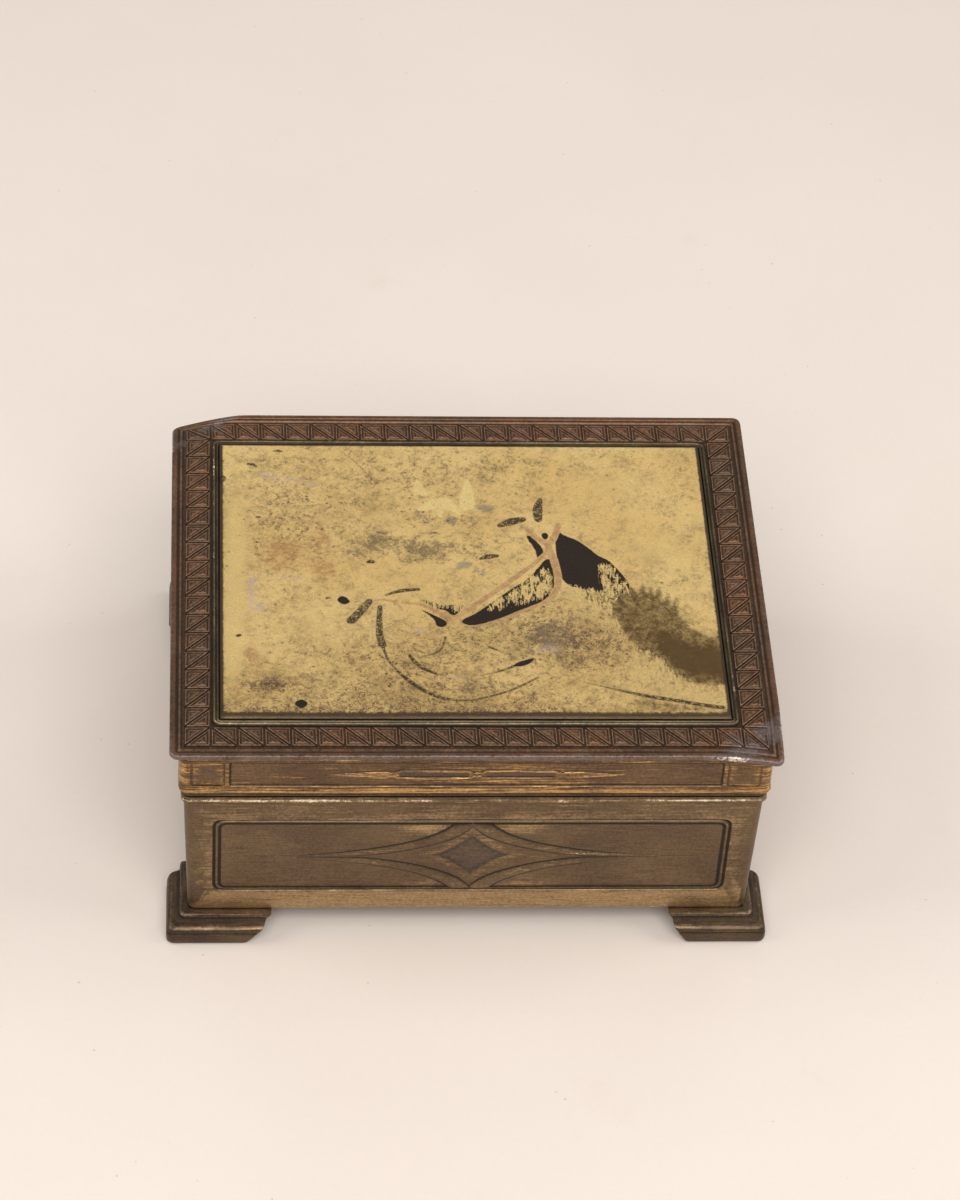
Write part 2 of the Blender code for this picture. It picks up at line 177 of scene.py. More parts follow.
class Finish(Wiring):
    """One material. Keyword values are constants of its shader."""

    def __init__(self, name, **constants):
        self.material = bpy.data.materials.new(name)
        self.material.use_nodes = True
        super().__init__(self.material.node_tree)
        self.shader = self.tree.nodes["Principled BSDF"]
        for socket, value in constants.items():
            self.shader.inputs[socket.replace("_", " ")].default_value = value
        coordinates = self.node("ShaderNodeTexCoord", output="Object")
        self.place = self.node(
            "ShaderNodeVectorMath", {"operation": "SCALE"}, {0: coordinates, "Scale": 1 / MM}
        )

    def attribute(self, name):
        return self.node("ShaderNodeAttribute", {"attribute_name": name}, output="Fac")

    def noise(self, scale, detail=3, roughness=0.5, stretch=(1, 1, 1), shift=0.0, distortion=0.0):
        """Noise from 0 to 1 with about scale lumps to the millimetre."""
        vector = self.node(
            "ShaderNodeVectorMath",
            {"operation": "MULTIPLY_ADD"},
            {0: self.place, 1: stretch, 2: (shift, shift * 0.7, shift * 1.3)},
        )
        inputs = {
            "Vector": vector,
            "Scale": scale,
            "Detail": detail,
            "Roughness": roughness,
            "Distortion": distortion,
        }
        return self.node("ShaderNodeTexNoise", None, inputs)

    def spots(self, scale, shift=0.0):
        """Distance from the nearest of many scattered points, in cells."""
        moved = {0: self.place, 1: (shift, shift, shift)}
        vector = self.node("ShaderNodeVectorMath", {"operation": "ADD"}, moved)
        return self.node("ShaderNodeTexVoronoi", None, {"Vector": vector, "Scale": scale})

    def mix(self, factor, first, second):
        """Colour first where factor is 0, second where it is 1. A colour is a socket or three numbers."""
        inputs = {0: factor}
        for place, colour in ((6, first), (7, second)):
            inputs[place] = colour if isinstance(colour, Socket) else (*colour, 1)
        return self.node("ShaderNodeMix", {"data_type": "RGBA"}, inputs, output=2)

    def brighten(self, colour, amount):
        """Multiplies a colour by a number that varies over the surface."""
        return self.node(
            "ShaderNodeVectorMath", {"operation": "SCALE"}, {0: colour, "Scale": amount}
        )

    def bump(self, height, distance, strength=1.0):
        """Bump from a height of 0 to 1 that stands for a distance in millimetres."""
        inputs = {"Height": height, "Distance": distance * MM, "Strength": strength}
        return self.node("ShaderNodeBump", None, inputs)

    def set(self, **sockets):
        for name, value in sockets.items():
            self.tree.links.new(value.socket, self.shader.inputs[name.replace("_", " ")])
        return self.material


class GeometryTree(Wiring):
    """A geometry tree with named inputs, run once on an object."""

    def __init__(self, name, inputs):
        super().__init__(bpy.data.node_groups.new(name, "GeometryNodeTree"))
        face = self.tree.interface
        self.identifiers = {}
        face.new_socket("Geometry", in_out="INPUT", socket_type="NodeSocketGeometry")
        for label, kind in inputs.items():
            made = face.new_socket(label, in_out="INPUT", socket_type="NodeSocket" + kind)
            self.identifiers[label] = made.identifier
        face.new_socket("Geometry", in_out="OUTPUT", socket_type="NodeSocketGeometry")
        self.start = self.tree.nodes.new("NodeGroupInput")

    def given(self, label):
        return Socket(self, self.start.outputs[label])

    def close(self, geometry):
        """Ends the tree in real geometry that carries the chosen finish."""
        real = self.node("GeometryNodeRealizeInstances", None, {"Geometry": geometry})
        done = self.node(
            "GeometryNodeSetMaterial", None, {"Geometry": real, "Material": self.given("Finish")}
        )
        end = self.tree.nodes.new("NodeGroupOutput")
        self.tree.links.new(done.socket, end.inputs[0])

    def run(self, name, data, **values):
        """Evaluates the tree on some mesh or curve data and returns a plain mesh object."""
        carrier = bpy.data.objects.new(name + "_carrier", data)
        bpy.context.scene.collection.objects.link(carrier)
        modifier = carrier.modifiers.new(name, "NODES")
        modifier.node_group = self.tree
        for label, value in values.items():
            modifier[self.identifiers[label.replace("_", " ")]] = value
        depsgraph = bpy.context.evaluated_depsgraph_get()
        mesh = bpy.data.meshes.new_from_object(carrier.evaluated_get(depsgraph))
        bpy.data.objects.remove(carrier)
        mesh.name = name
        made = bpy.data.objects.new(name, mesh)
        bpy.context.scene.collection.objects.link(made)
        return made


# ---------------------------------------------------------------------------------------------
# Finishes
# ---------------------------------------------------------------------------------------------


def bronze_finish():
    """Copper-brown patina of the lid's border: dark in the grooves, partly grime and partly painted shade,
    lighter on the raised lines, partly rubbed and partly painted highlight, and grey where hands have rubbed
    it.
    """
    f = Finish("patinated_bronze", IOR=1.5)
    relief = f.attribute("relief")
    rub = f.attribute("rub")
    broad = f.noise(0.05, 4, 0.6)
    cloud = f.noise(0.3, 5, 0.65, shift=11)
    fine = f.noise(1.6, 4, 0.75, shift=3)
    grit = f.noise(4, 3, 0.7, shift=7)
    colour = f.mix(broad.rise(0.36, 0.64), (0.125, 0.074, 0.045), (0.185, 0.092, 0.049))
    red = f.noise(0.5, 4, 0.6, shift=19).rise(0.56, 0.72)
    colour = f.mix(red * 0.55, colour, (0.20, 0.078, 0.038))
    olive = (cloud + (fine - 0.5) * 0.5).rise(0.56, 0.78)
    colour = f.mix(olive * 0.6, colour, (0.135, 0.110, 0.078))
    # Lighter copper on the raised lines: partly rubbed metal, partly painted highlight.
    ridge = (relief + (fine - 0.5) * 0.5).rise(0.72, 1.05)
    colour = f.mix(ridge * 0.6, colour, (0.33, 0.215, 0.135))
    # Near black in the grooves: partly grime, partly painted shade.
    recess_grime_and_shade = (relief + (fine - 0.5) * 0.25).rise(0.40, 0.03)
    colour = f.mix(recess_grime_and_shade * 0.85, colour, (0.030, 0.022, 0.015))
    grey = (rub * 0.9 + (broad - 0.5) * 1.6 + (cloud - 0.5) * 1.3 + (fine - 0.5) * 0.6).rise(0.32, 0.95)
    colour = f.mix(grey * 0.8, colour, (0.185, 0.150, 0.138))
    chip = (rub * 0.22 + relief * 0.1 + fine * 0.75 + (cloud - 0.5) * 0.35).rise(0.80, 0.86)
    colour = f.mix(chip * 0.9, colour, (0.62, 0.54, 0.47))
    mottled = grit.rise(0.3, 0.7) * 0.5 + fine.rise(0.3, 0.7) * 0.55 + cloud.rise(0.3, 0.7) * 0.25
    colour = f.brighten(colour, mottled + 0.38)
    return f.set(
        Base_Color=colour,
        Metallic=0.86 - recess_grime_and_shade * 0.35 - chip * 0.3,
        Roughness=0.46 + recess_grime_and_shade * 0.25 + (fine - 0.5) * 0.3,
        Normal=f.bump(fine * 0.7 + grit * 0.3, 0.06, 0.7),
    )


def brass_finish(name, dark, plain, gold, streaks):
    """Browned cast brass. Streaks is how strongly it is brushed along its length."""
    f = Finish(name, IOR=1.5)
    relief = f.attribute("relief")
    rub = f.attribute("rub")
    broad = f.noise(0.06, 3, 0.55)
    cloud = f.noise(0.3, 5, 0.7, stretch=(0.4, 0.4, 1), shift=5)
    fine = f.noise(1.4, 4, 0.75, shift=9)
    grit = f.noise(3.5, 3, 0.7, shift=2)
    brushed = f.noise(1, 5, 0.65, stretch=(0.07, 0.07, 2.4), shift=4)
    threads = f.noise(1, 3, 0.6, stretch=(0.16, 0.16, 8.0), shift=8)
    colour = f.mix(broad.rise(0.35, 0.65), dark, plain)
    streak = ((brushed - 0.5) * 2.4 + (threads - 0.5) * 1.2) * streaks
    # Gold where rub is high: mostly wear, but on the case's bottom rail and on raised crests also painted
    # light.
    worn = (rub + streak + (cloud - 0.5) * 0.9 + (fine - 0.5) * 0.7).rise(0.25, 1.0)
    colour = f.mix(worn, colour, gold)
    violet = ((cloud - 0.5) * 1.6 + (brushed - 0.5) * 1.2 - rub * 0.7).rise(0.10, 0.45)
    colour = f.mix(violet * 0.6, colour, (0.105, 0.080, 0.070))
    # Near black in grooves, at the feet of raised lines and along the skirt's lower bead: partly grime,
    # partly painted shade.
    recess_grime_and_shade = (relief + (fine - 0.5) * 0.25).rise(0.40, 0.03)
    colour = f.mix(recess_grime_and_shade * 0.93, colour, (0.018, 0.012, 0.008))
    bare = (relief + (fine - 0.5) * 1.4 + (brushed - 0.5) * 1.4 + (cloud - 0.5) * 1.2).rise(1.12, 1.28)
    colour = f.mix(bare * 0.9, colour, (0.90, 0.80, 0.60))
    mottled = grit.rise(0.3, 0.7) * 0.35 + threads.rise(0.3, 0.7) * 0.5 + fine.rise(0.3, 0.7) * 0.4
    colour = f.brighten(colour, mottled + 0.40)
    return f.set(
        Base_Color=colour,
        Metallic=0.88 - recess_grime_and_shade * 0.4,
        Roughness=0.42 + recess_grime_and_shade * 0.3 - worn * 0.04 + (fine - 0.5) * 0.25,
        Normal=f.bump(threads * 0.5 + fine * 0.5 + grit * 0.2, 0.06, 0.7),
    )


def gilt_finish():
    """Pale gilding with the worn picture: dark enamel, drawn lines, copper straps, bare spots."""
    f = Finish("gilt_picture", IOR=1.5)
    broad = f.noise(0.05, 3, 0.5, shift=2)
    cloud = f.noise(0.2, 5, 0.65, shift=6)
    mottle = f.noise(0.5, 5, 0.75, shift=12, distortion=0.7)
    speckle = f.noise(1.3, 3, 0.75, shift=1, distortion=0.9)
    grit = f.noise(2.7, 3, 0.75, shift=9)
    curl = f.noise(0.6, 2, 0.6, shift=31, distortion=2.4)
    curl_small = f.noise(1.1, 2, 0.6, shift=47, distortion=2.0)
    scratches = abs(curl - 0.5).rise(0.05, 0.018).largest(abs(curl_small - 0.5).rise(0.05, 0.018))
    grime = f.attribute("grime")
    hatch = f.attribute("hatch")
    clouded = f.attribute("cloud")
    wobble = (speckle - 0.5) * 1.5 + (mottle - 0.5) * 1.2

    # Clean and dusty gilding.
    colour = f.mix(broad.rise(0.35, 0.65), (0.87, 0.605, 0.235), (0.94, 0.685, 0.285))
    dusty = (cloud * 0.5 + mottle * 0.5 + (grime - 0.25) * 0.22 + (speckle - 0.5) * 0.6).rise(0.42, 0.66)
    colour = f.mix(dusty * 0.7, colour, (0.46, 0.31, 0.13))
    blotch = (mottle * 0.5 + speckle * 0.5 + (grit - 0.5) * 0.4 + (grime - 0.4) * 0.2).rise(0.51, 0.62)
    colour = f.mix(blotch * (grime * 0.65 + 0.35), colour, (0.33, 0.205, 0.095))
    greyed = (clouded + (mottle - 0.5) * 2.0 + (speckle - 0.5) * 1.8 + (cloud - 0.5) * 1.2).rise(0.25, 1.15)
    colour = f.mix(greyed * 0.72, colour, (0.33, 0.235, 0.115))
    colour = f.mix(scratches * greyed * 0.7, colour, (0.17, 0.125, 0.07))

    # Tints: bluish stains, painted highlights, the picture's ghost, rust and bare lavender metal.
    bluish = (f.attribute("blue") * 1.2 + (mottle - 0.5) * 1.8 + (speckle - 0.5) * 0.9).rise(0.4, 1.0)
    colour = f.mix(bluish * 0.7, colour, (0.33, 0.30, 0.21))
    # Painted highlight: soft bright spots and strips on the gilding.
    painted_highlight = (f.attribute("painted_highlight") + (mottle - 0.5) * 0.9 + (speckle - 0.5) * 0.6).rise(0.3, 0.9)
    colour = f.mix(painted_highlight * 0.75, colour, (0.91, 0.68, 0.28))
    ghost = (f.attribute("ghost") + wobble * 0.4).rise(0.3, -0.35)
    colour = f.mix(ghost * 0.9, colour, (0.96, 0.745, 0.32))
    amber = (f.attribute("amber") * (mottle * 1.4 + (speckle - 0.5) * 1.6)).rise(0.25, 0.9)
    colour = f.mix(amber * 0.75, colour, (0.56, 0.30, 0.12))
    lavender = (f.attribute("bare") * 1.2 + (mottle - 0.5) * 2.4 + (speckle - 0.5) * 3.4 - 0.2).rise(0.5, 1.3)
    colour = f.mix(lavender * 0.8, colour, (0.58, 0.44, 0.36))

    # Brown smoke, cut through by bright strokes.
    strokes = f.noise(1.0, 1, 0.5, stretch=(1.5, 0.42, 1), shift=51, distortion=0.9)
    cut = (scratches * 0.3 + hatch * 0.6 + (strokes - 0.5) * 2.0).rise(0.60, 0.70) * (hatch * 4).smallest(1.0)
    haze = (f.attribute("smoke") * 1.05 + (mottle - 0.5) * 0.9 + (speckle - 0.5) * 0.7).rise(0.2, 1.1)
    haze = haze * (f.attribute("smoke") * 6).smallest(1.0) * (1 - cut * 0.85)
    colour = f.mix(haze * 0.93, colour, (0.078, 0.043, 0.013))
    colour = f.mix(cut * 0.7, colour, (0.90, 0.66, 0.27))

    # Pits and dark specks.
    scuffed = scratches * (grime * 0.9 + hatch * 0.3) * (1 - haze)
    colour = f.mix(scuffed * 0.45, colour, (0.24, 0.16, 0.08))
    speck = (speckle * 0.55 + grit * 0.45 + (grime - 0.5) * 0.14 + (mottle - 0.5) * 0.25).rise(0.55, 0.62)
    colour = f.mix(speck * (grime * 0.75 + 0.3), colour, (0.12, 0.08, 0.045))
    dots = f.spots(0.4, shift=3).rise(0.17, 0.07) * (mottle + grime * 0.5).rise(0.55, 0.75)
    colour = f.mix(dots * 0.75, colour, (0.10, 0.07, 0.04))

    # The picture itself.
    drawn = (f.attribute("drawn") + wobble * 0.4).rise(0.14, -0.12)
    drawn = drawn * ((grit * 0.4 + speckle * 0.6).rise(0.42, 0.50) * 0.65 + 0.35)
    colour = f.mix(drawn * 0.97, colour, (0.050, 0.032, 0.017))
    enamel = (f.attribute("enamel") + wobble * 0.35).rise(0.12, -0.08) * (1 - cut)
    colour = f.mix(enamel, colour, (0.024, 0.014, 0.008))
    strap = (f.attribute("strap") + wobble * 0.35).rise(0.16, -0.16)
    copper = f.mix(mottle.rise(0.42, 0.58), (0.68, 0.44, 0.19), (0.55, 0.29, 0.15))
    colour = f.mix(strap * 0.85, colour, copper)
    # Darker along the plate's rolled edges, over a wider band along its front edge.
    rim = (f.attribute("rim") + (speckle - 0.5) * 0.6 + (mottle - 0.5) * 0.6).rise(0.25, 0.7)
    colour = f.mix(rim * 0.92, colour, (0.075, 0.050, 0.030))
    colour = f.brighten(colour, speckle.rise(0.3, 0.7) * 0.18 + grit.rise(0.3, 0.7) * 0.22 + 0.82)
    cover = enamel.largest(drawn * 0.8).largest(rim * 0.6)
    return f.set(
        Base_Color=colour,
        Metallic=0.93 - cover * 0.25 - haze * 0.1 - lavender * 0.3 - speck * 0.2,
        Roughness=0.36 + speck * 0.2 + (speckle - 0.5) * 0.2 + lavender * 0.12 - cover * 0.05,
        Normal=f.bump(speckle * 0.5 + mottle * 0.4 + grit * 0.25 + scratches * 0.2, 0.05, 0.7),
    )


def cedar_finish(name, along):
    """Unvarnished cedar with the grain along one axis."""
    f = Finish(name, IOR=1.45)
    stretch = {"x": (0.05, 1, 1), "y": (1, 0.05, 1)}[along]
    wide = f.noise(0.22, 3, 0.5, stretch=stretch, distortion=0.6)
    rings = f.noise(0.9, 4, 0.6, stretch=stretch, shift=4, distortion=0.8)
    fibre = f.noise(6, 4, 0.7, stretch=stretch, shift=9)
    colour = f.mix(wide.rise(0.3, 0.7), (0.33, 0.15, 0.075), (0.46, 0.235, 0.125))
    colour = f.mix(rings.rise(0.5, 0.68) * 0.65, colour, (0.23, 0.095, 0.05))
    colour = f.mix(fibre.rise(0.5, 0.75) * 0.4, colour, (0.55, 0.33, 0.2))
    stain = f.noise(0.06, 4, 0.6, shift=15).rise(0.52, 0.75)
    colour = f.mix(stain * 0.4, colour, (0.16, 0.08, 0.05))
    return f.set(
        Base_Color=colour,
        Roughness=0.62 + (fibre - 0.5) * 0.3,
        Normal=f.bump(fibre * 0.7 + rings * 0.3, 0.06, 0.7),
    )


def floor_finish():
    """Warm painted board with faint stains and a few specks."""
    f = Finish("floor_board", Specular_IOR_Level=0.25, Roughness=0.7)
    broad = f.noise(0.006, 4, 0.6)
    cloud = f.noise(0.03, 5, 0.65, shift=8)
    fine = f.noise(0.9, 4, 0.7, shift=2)
    colour = f.mix(broad.rise(0.3, 0.7), (0.80, 0.715, 0.645), (0.83, 0.745, 0.68))
    colour = f.mix(cloud.rise(0.62, 0.8) * 0.35, colour, (0.75, 0.635, 0.545))
    rare = f.noise(0.05, 2, 0.5, shift=21).rise(0.5, 0.62)
    speck = f.spots(0.22, shift=4).rise(0.075, 0.03) * rare
    colour = f.mix(speck * 0.5, colour, (0.42, 0.35, 0.30))
    colour = f.brighten(colour, fine * 0.05 + 0.975)
    return f.set(Base_Color=colour, Normal=f.bump(fine, 0.08, 0.25))


# ---------------------------------------------------------------------------------------------
# Mesh helpers
# ---------------------------------------------------------------------------------------------


class Sheet:
    """Collects points in millimetres and faces. Each point says how proud and how rubbed it is; in places
    these numbers also carry painted shade and painted light.
    """

    def __init__(self):
        self.points = []
        self.faces = []
        self.relief = []
        self.rub = []

    def row(self, points, relief=0.5, rub=0.3):
        first = len(self.points)
        self.points += [Vector(point) for point in points]
        self.relief += [relief] * len(points)
        self.rub += [rub] * len(points)
        return range(first, len(self.points))

    def skin(self, low, high, closed=True):
        count = len(low)
        for i in range(count if closed else count - 1):
            j = (i + 1) % count
            self.faces.append((low[i], low[j], high[j], high[i]))

    def skin_all(self, rows, closed=True):
        for low, high in zip(rows, rows[1:]):
            self.skin(low, high, closed)

    def cap(self, row):
        self.faces.append(tuple(row))

    def piece(self, name, finish, sharp=34):
        """Welds the sheet into an object in metres."""
        mesh = bpy.data.meshes.new(name)
        mesh.from_pydata([point * MM for point in self.points], [], self.faces)
        store(mesh, "relief", self.relief)
        store(mesh, "rub", self.rub)
        bm = bmesh.new()
        bm.from_mesh(mesh)
        bmesh.ops.remove_doubles(bm, verts=bm.verts, dist=0.002 * MM)
        bmesh.ops.recalc_face_normals(bm, faces=bm.faces)
        bm.to_mesh(mesh)
        bm.free()
        return shaded(bpy.data.objects.new(name, mesh), finish, sharp)


def store(mesh, name, values):
    """Keeps one number a point on a mesh, for its finish to read."""
    mesh.attributes.new(name, "FLOAT", "POINT").data.foreach_set("value", values)


def store_even(mesh, relief, rub):
    """One relief and one rub for a whole mesh."""
    store(mesh, "relief", [relief] * len(mesh.vertices))
    store(mesh, "rub", [rub] * len(mesh.vertices))


def shaded(piece, finish, sharp=34):
    if piece.name not in bpy.context.scene.collection.objects:
        bpy.context.scene.collection.objects.link(piece)
    piece.data.materials.clear()
    piece.data.materials.append(finish)
    piece.data.shade_smooth()
    piece.data.set_sharp_from_angle(angle=radians(sharp))
    return piece


def evenly(low, high, count):
    """Count steps from low to high, both ends included."""
    return [low + (high - low) * i / count for i in range(count + 1)]


def ring(half_x, half_y, corner, z, stations, steps=4):
    """A rounded rectangle at one height. Stations are the places of its points along a side, -1 to 1."""
    points = []
    for turn, (side_x, side_y) in enumerate(CORNERS):
        centre_x = side_x * (half_x - corner)
        centre_y = side_y * (half_y - corner)
        for step in range(steps + 1):
            angle = pi / 2 * (turn + step / steps)
            points.append((centre_x + corner * cos(angle), centre_y + corner * sin(angle), z))
        along_x, along_y = stations
        inner = (along_x if turn % 2 == 0 else along_y)[1:-1]
        for place in inner:
            if turn == 0:
                points.append((-place * (half_x - corner), half_y, z))
            elif turn == 1:
                points.append((-half_x, -place * (half_y - corner), z))
            elif turn == 2:
                points.append((place * (half_x - corner), -half_y, z))
            else:
                points.append((half_x, place * (half_y - corner), z))
    return points


def corner_drop(x, y):
    """How far the bent corners hang below the flat lid at a place."""
    total = 0.0
    for side_x, side_y, reach_x, reach_y, drop in BENT_CORNERS:
        from_x = LID_HALF[0] - side_x * x
        from_y = LID_HALF[1] - side_y * y
        share = max(0.0, 1 - from_x / reach_x - from_y / reach_y)
        total += drop * share**1.3
    return total


def bend_corners(piece, still=None):
    """Lets a lid piece down at the bent corners, less towards the height that stays still."""
    rubbed = piece.data.attributes["rub"].data if "rub" in piece.data.attributes else None
    for vertex in piece.data.vertices:
        x, y, z = vertex.co / MM
        share = 1.0 if still is None else (z - still) / (LID_TOP - FLANGE - still)
        drop = corner_drop(x, y)
        vertex.co.z -= max(0.0, share) * drop * MM
        if rubbed and still is None and drop > 0:
            rubbed[vertex.index].value += 0.9 * bell(drop, 0.5, 0.6)
    return piece


def wall_half(z):
    share = (z - CASE_BOTTOM) / (WALL_TOP - CASE_BOTTOM)
    return WALL_BOTTOM_HALF + share * (WALL_TOP_HALF - WALL_BOTTOM_HALF)


def on_side(side, along, out, z):
    """A place on one side: 0 front, 1 right, 2 back, 3 left. Out is measured from the middle."""
    angle = side * pi / 2
    return Vector((along * cos(angle) + out * sin(angle), along * sin(angle) - out * cos(angle), z))


def inset_of(side):
    """How much nearer the middle the front and the back lie than the left and right sides."""
    return DEPTH_LESS if side % 2 == 0 else 0


def fit_line(mesh, place):
    """Moves a flat drawing's points to a surface. place takes along, up and proud, in millimetres."""
    for vertex in mesh.vertices:
        vertex.co = place(*(vertex.co / MM)) * MM


def add_wear_and_shade(piece, rub, top):
    """Darkens the feet of a raised line, partly grime and partly painted shade, and rubs its crest, partly
    wear and partly painted highlight, from how far across it a point lies.
    """
    across = np.empty(len(piece.data.vertices))
    piece.data.attributes["across"].data.foreach_get("value", across)
    crest = np.clip((0.86 - across) / 0.35, 0, 1)
    store(piece.data, "relief", crest * top)
    store(piece.data, "rub", crest * rub)


def smooth_path(points, steps=8, closed=False):
    """Points of a smooth curve through the given ones."""
    count = len(points)
    spans = count if closed else count - 1
    path = []
    for i in range(spans):
        around = [i + k for k in (-1, 0, 1, 2)]
        near = [points[k % count if closed else min(max(k, 0), count - 1)] for k in around]
        before, start, end, after = [np.array(point, float) for point in near]
        for t in (step / steps for step in range(steps)):
            path.append(
                0.5
                * (
                    2 * start
                    + (end - before) * t
                    + (2 * before - 5 * start + 4 * end - after) * t**2
                    + (3 * start - before - 3 * end + after) * t**3
                )
            )
    if not closed:
        path.append(np.array(points[-1], float))
    return np.array(path)


def curve_data(name, paths, radii=None):
    """Poly curves through flat paths, in metres. Radii tapers each path's points."""
    data = bpy.data.curves.new(name, "CURVE")
    data.dimensions = "3D"
    data.twist_mode = "Z_UP"
    for number, path in enumerate(paths):
        spline = data.splines.new("POLY")
        spline.points.add(len(path) - 1)
        for i, (point, place) in enumerate(zip(spline.points, path)):
            point.co = (place[0] * MM, place[1] * MM, 0, 1)
            point.radius = radii[number][i] if radii else 1.0
    return data


def raised_line_tree():
    """A low ridge with flared feet swept along every curve it is given."""
    tree = GeometryTree("raised_line", {"Width": "Float", "Height": "Float", "Finish": "Material"})
    circle = tree.node("GeometryNodeCurvePrimitiveCircle", None, {"Resolution": 16, "Radius": 1.0})
    position = tree.node("GeometryNodeInputPosition")
    x = tree.node("ShaderNodeSeparateXYZ", None, {0: position}, output="X")
    y = tree.node("ShaderNodeSeparateXYZ", None, {0: position}, output="Y")
    marked = tree.node(
        "GeometryNodeStoreNamedAttribute",
        {"data_type": "FLOAT", "domain": "POINT"},
        {"Geometry": circle, "Name": "across", "Value": abs(x)},
    )
    thin = 1 - x * x
    shape = {0: x * tree.given("Width") * 0.5, 1: y * thin * tree.given("Height"), 2: 0.0}
    place = tree.node("ShaderNodeCombineXYZ", None, shape)
    profile = tree.node("GeometryNodeSetPosition", None, {"Geometry": marked, "Position": place})
    swept = tree.node(
        "GeometryNodeCurveToMesh",
        None,
        {
            "Curve": tree.given("Geometry"),
            "Profile Curve": profile,
            "Scale": tree.node("GeometryNodeInputRadius"),
            "Fill Caps": True,
        },
    )
    tree.close(swept)
    return tree


# ---------------------------------------------------------------------------------------------
# Lid
# ---------------------------------------------------------------------------------------------

LID_STATIONS = (evenly(-1, 1, 76), evenly(-1, 1, 62))

# Flange from its underside over the rolled lip to the floor under the tiles:
# inset, height from the top, how proud, how rubbed.
FLANGE_PROFILE = (
    (7.2, -0.75, 0.3, 0.0),
    (5.7, -0.75, 0.3, 0.0),
    (4.4, -0.75, 0.3, 0.0),
    (3.3, -1.20, 0.2, 0.0),
    (0.45, -1.20, 0.3, 0.2),
    (0.12, -1.10, 0.5, 0.6),
    (0.0, -0.85, 0.6, 0.8),
    (0.0, -0.45, 0.7, 0.9),
    (0.1, -0.18, 0.85, 0.95),
    (0.3, -0.04, 0.8, 0.7),
    (0.6, 0.0, 0.6, 0.15),
    (0.95, -0.04, 0.5, 0.0),
    (1.15, -0.16, 0.3, 0.0),
    (1.28, -0.40, 0.0, 0.0),
    (1.52, -0.42, 0.0, 0.0),
    (1.66, -0.16, 0.6, 0.1),
    (1.82, -0.08, 0.85, 0.25),
    (2.04, -0.08, 0.85, 0.25),
    (2.18, -0.18, 0.45, 0.0),
    (2.32, -BAND_FLOOR, 0.05, 0.0),
    (2.70, -BAND_FLOOR, 0.15, 0.0),
    (2.90, -BAND_FLOOR, 0.28, 0.0),
    (7.90, -BAND_FLOOR, 0.28, 0.0),
    (8.10, -BAND_FLOOR, 0.1, 0.0),
    (8.50, -BAND_FLOOR, 0.0, 0.0),
    (10.4, -BAND_FLOOR, 0.0, 0.0),
)

# One tile from its edge to its middle: inset, height from the lid's top, how proud, how rubbed.
TILE_PROFILE = (
    (0.0, -BAND_FLOOR, 0.1, 0.0),
    (0.03, -0.20, 0.2, 0.0),
    (0.10, -0.04, 0.75, 0.1),
    (0.18, 0.0, 1.0, 0.25),
    (0.32, 0.0, 1.0, 0.25),
    (0.42, -0.20, 0.12, 0.0),
    (0.56, -0.22, 0.1, 0.0),
    (0.64, -0.12, 0.55, 0.0),
    (0.80, -0.10, 0.6, 0.0),
    (0.88, -0.02, 0.92, 0.2),
    (1.00, -0.02, 0.92, 0.2),
    (1.10, -0.19, 0.14, 0.0),
    (1.20, -0.19, 0.2, 0.0),
    (1.30, -0.12, 0.55, 0.0),
)


def tile_piece():
    """One border tile: two right triangles across a falling diagonal, each with nested ridges."""
    sheet = Sheet()
    joint = 0.13
    half = TILE / 2 - joint
    for side in (-1, 1):
        right_angle = Vector((side * half, side * half, 0))
        ends = (Vector((-side * half, side * half, 0)), Vector((side * half, -side * half, 0)))
        shrink = side * joint
        corners = [right_angle, *[end + Vector((shrink, shrink, 0)) * 0.5 for end in ends]]
        lengths = [(corners[i - 1] - corners[i - 2]).length for i in range(3)]
        middle = sum((c * l for c, l in zip(corners, lengths)), Vector()) / sum(lengths)
        inner_radius = 4 * half**2 / sum(lengths)
        rows = []
        for inset, height, relief, rub in TILE_PROFILE:
            share = inset / inner_radius
            loop = [corner + (middle - corner) * share for corner in corners]
            loop = [(point.x, point.y, height) for point in loop]
            rows.append(sheet.row(loop, relief, rub))
        sheet.skin_all(rows)
        sheet.cap(rows[0])
        sheet.cap(rows[-1])
    return sheet.piece("tile_pattern", None, sharp=20)


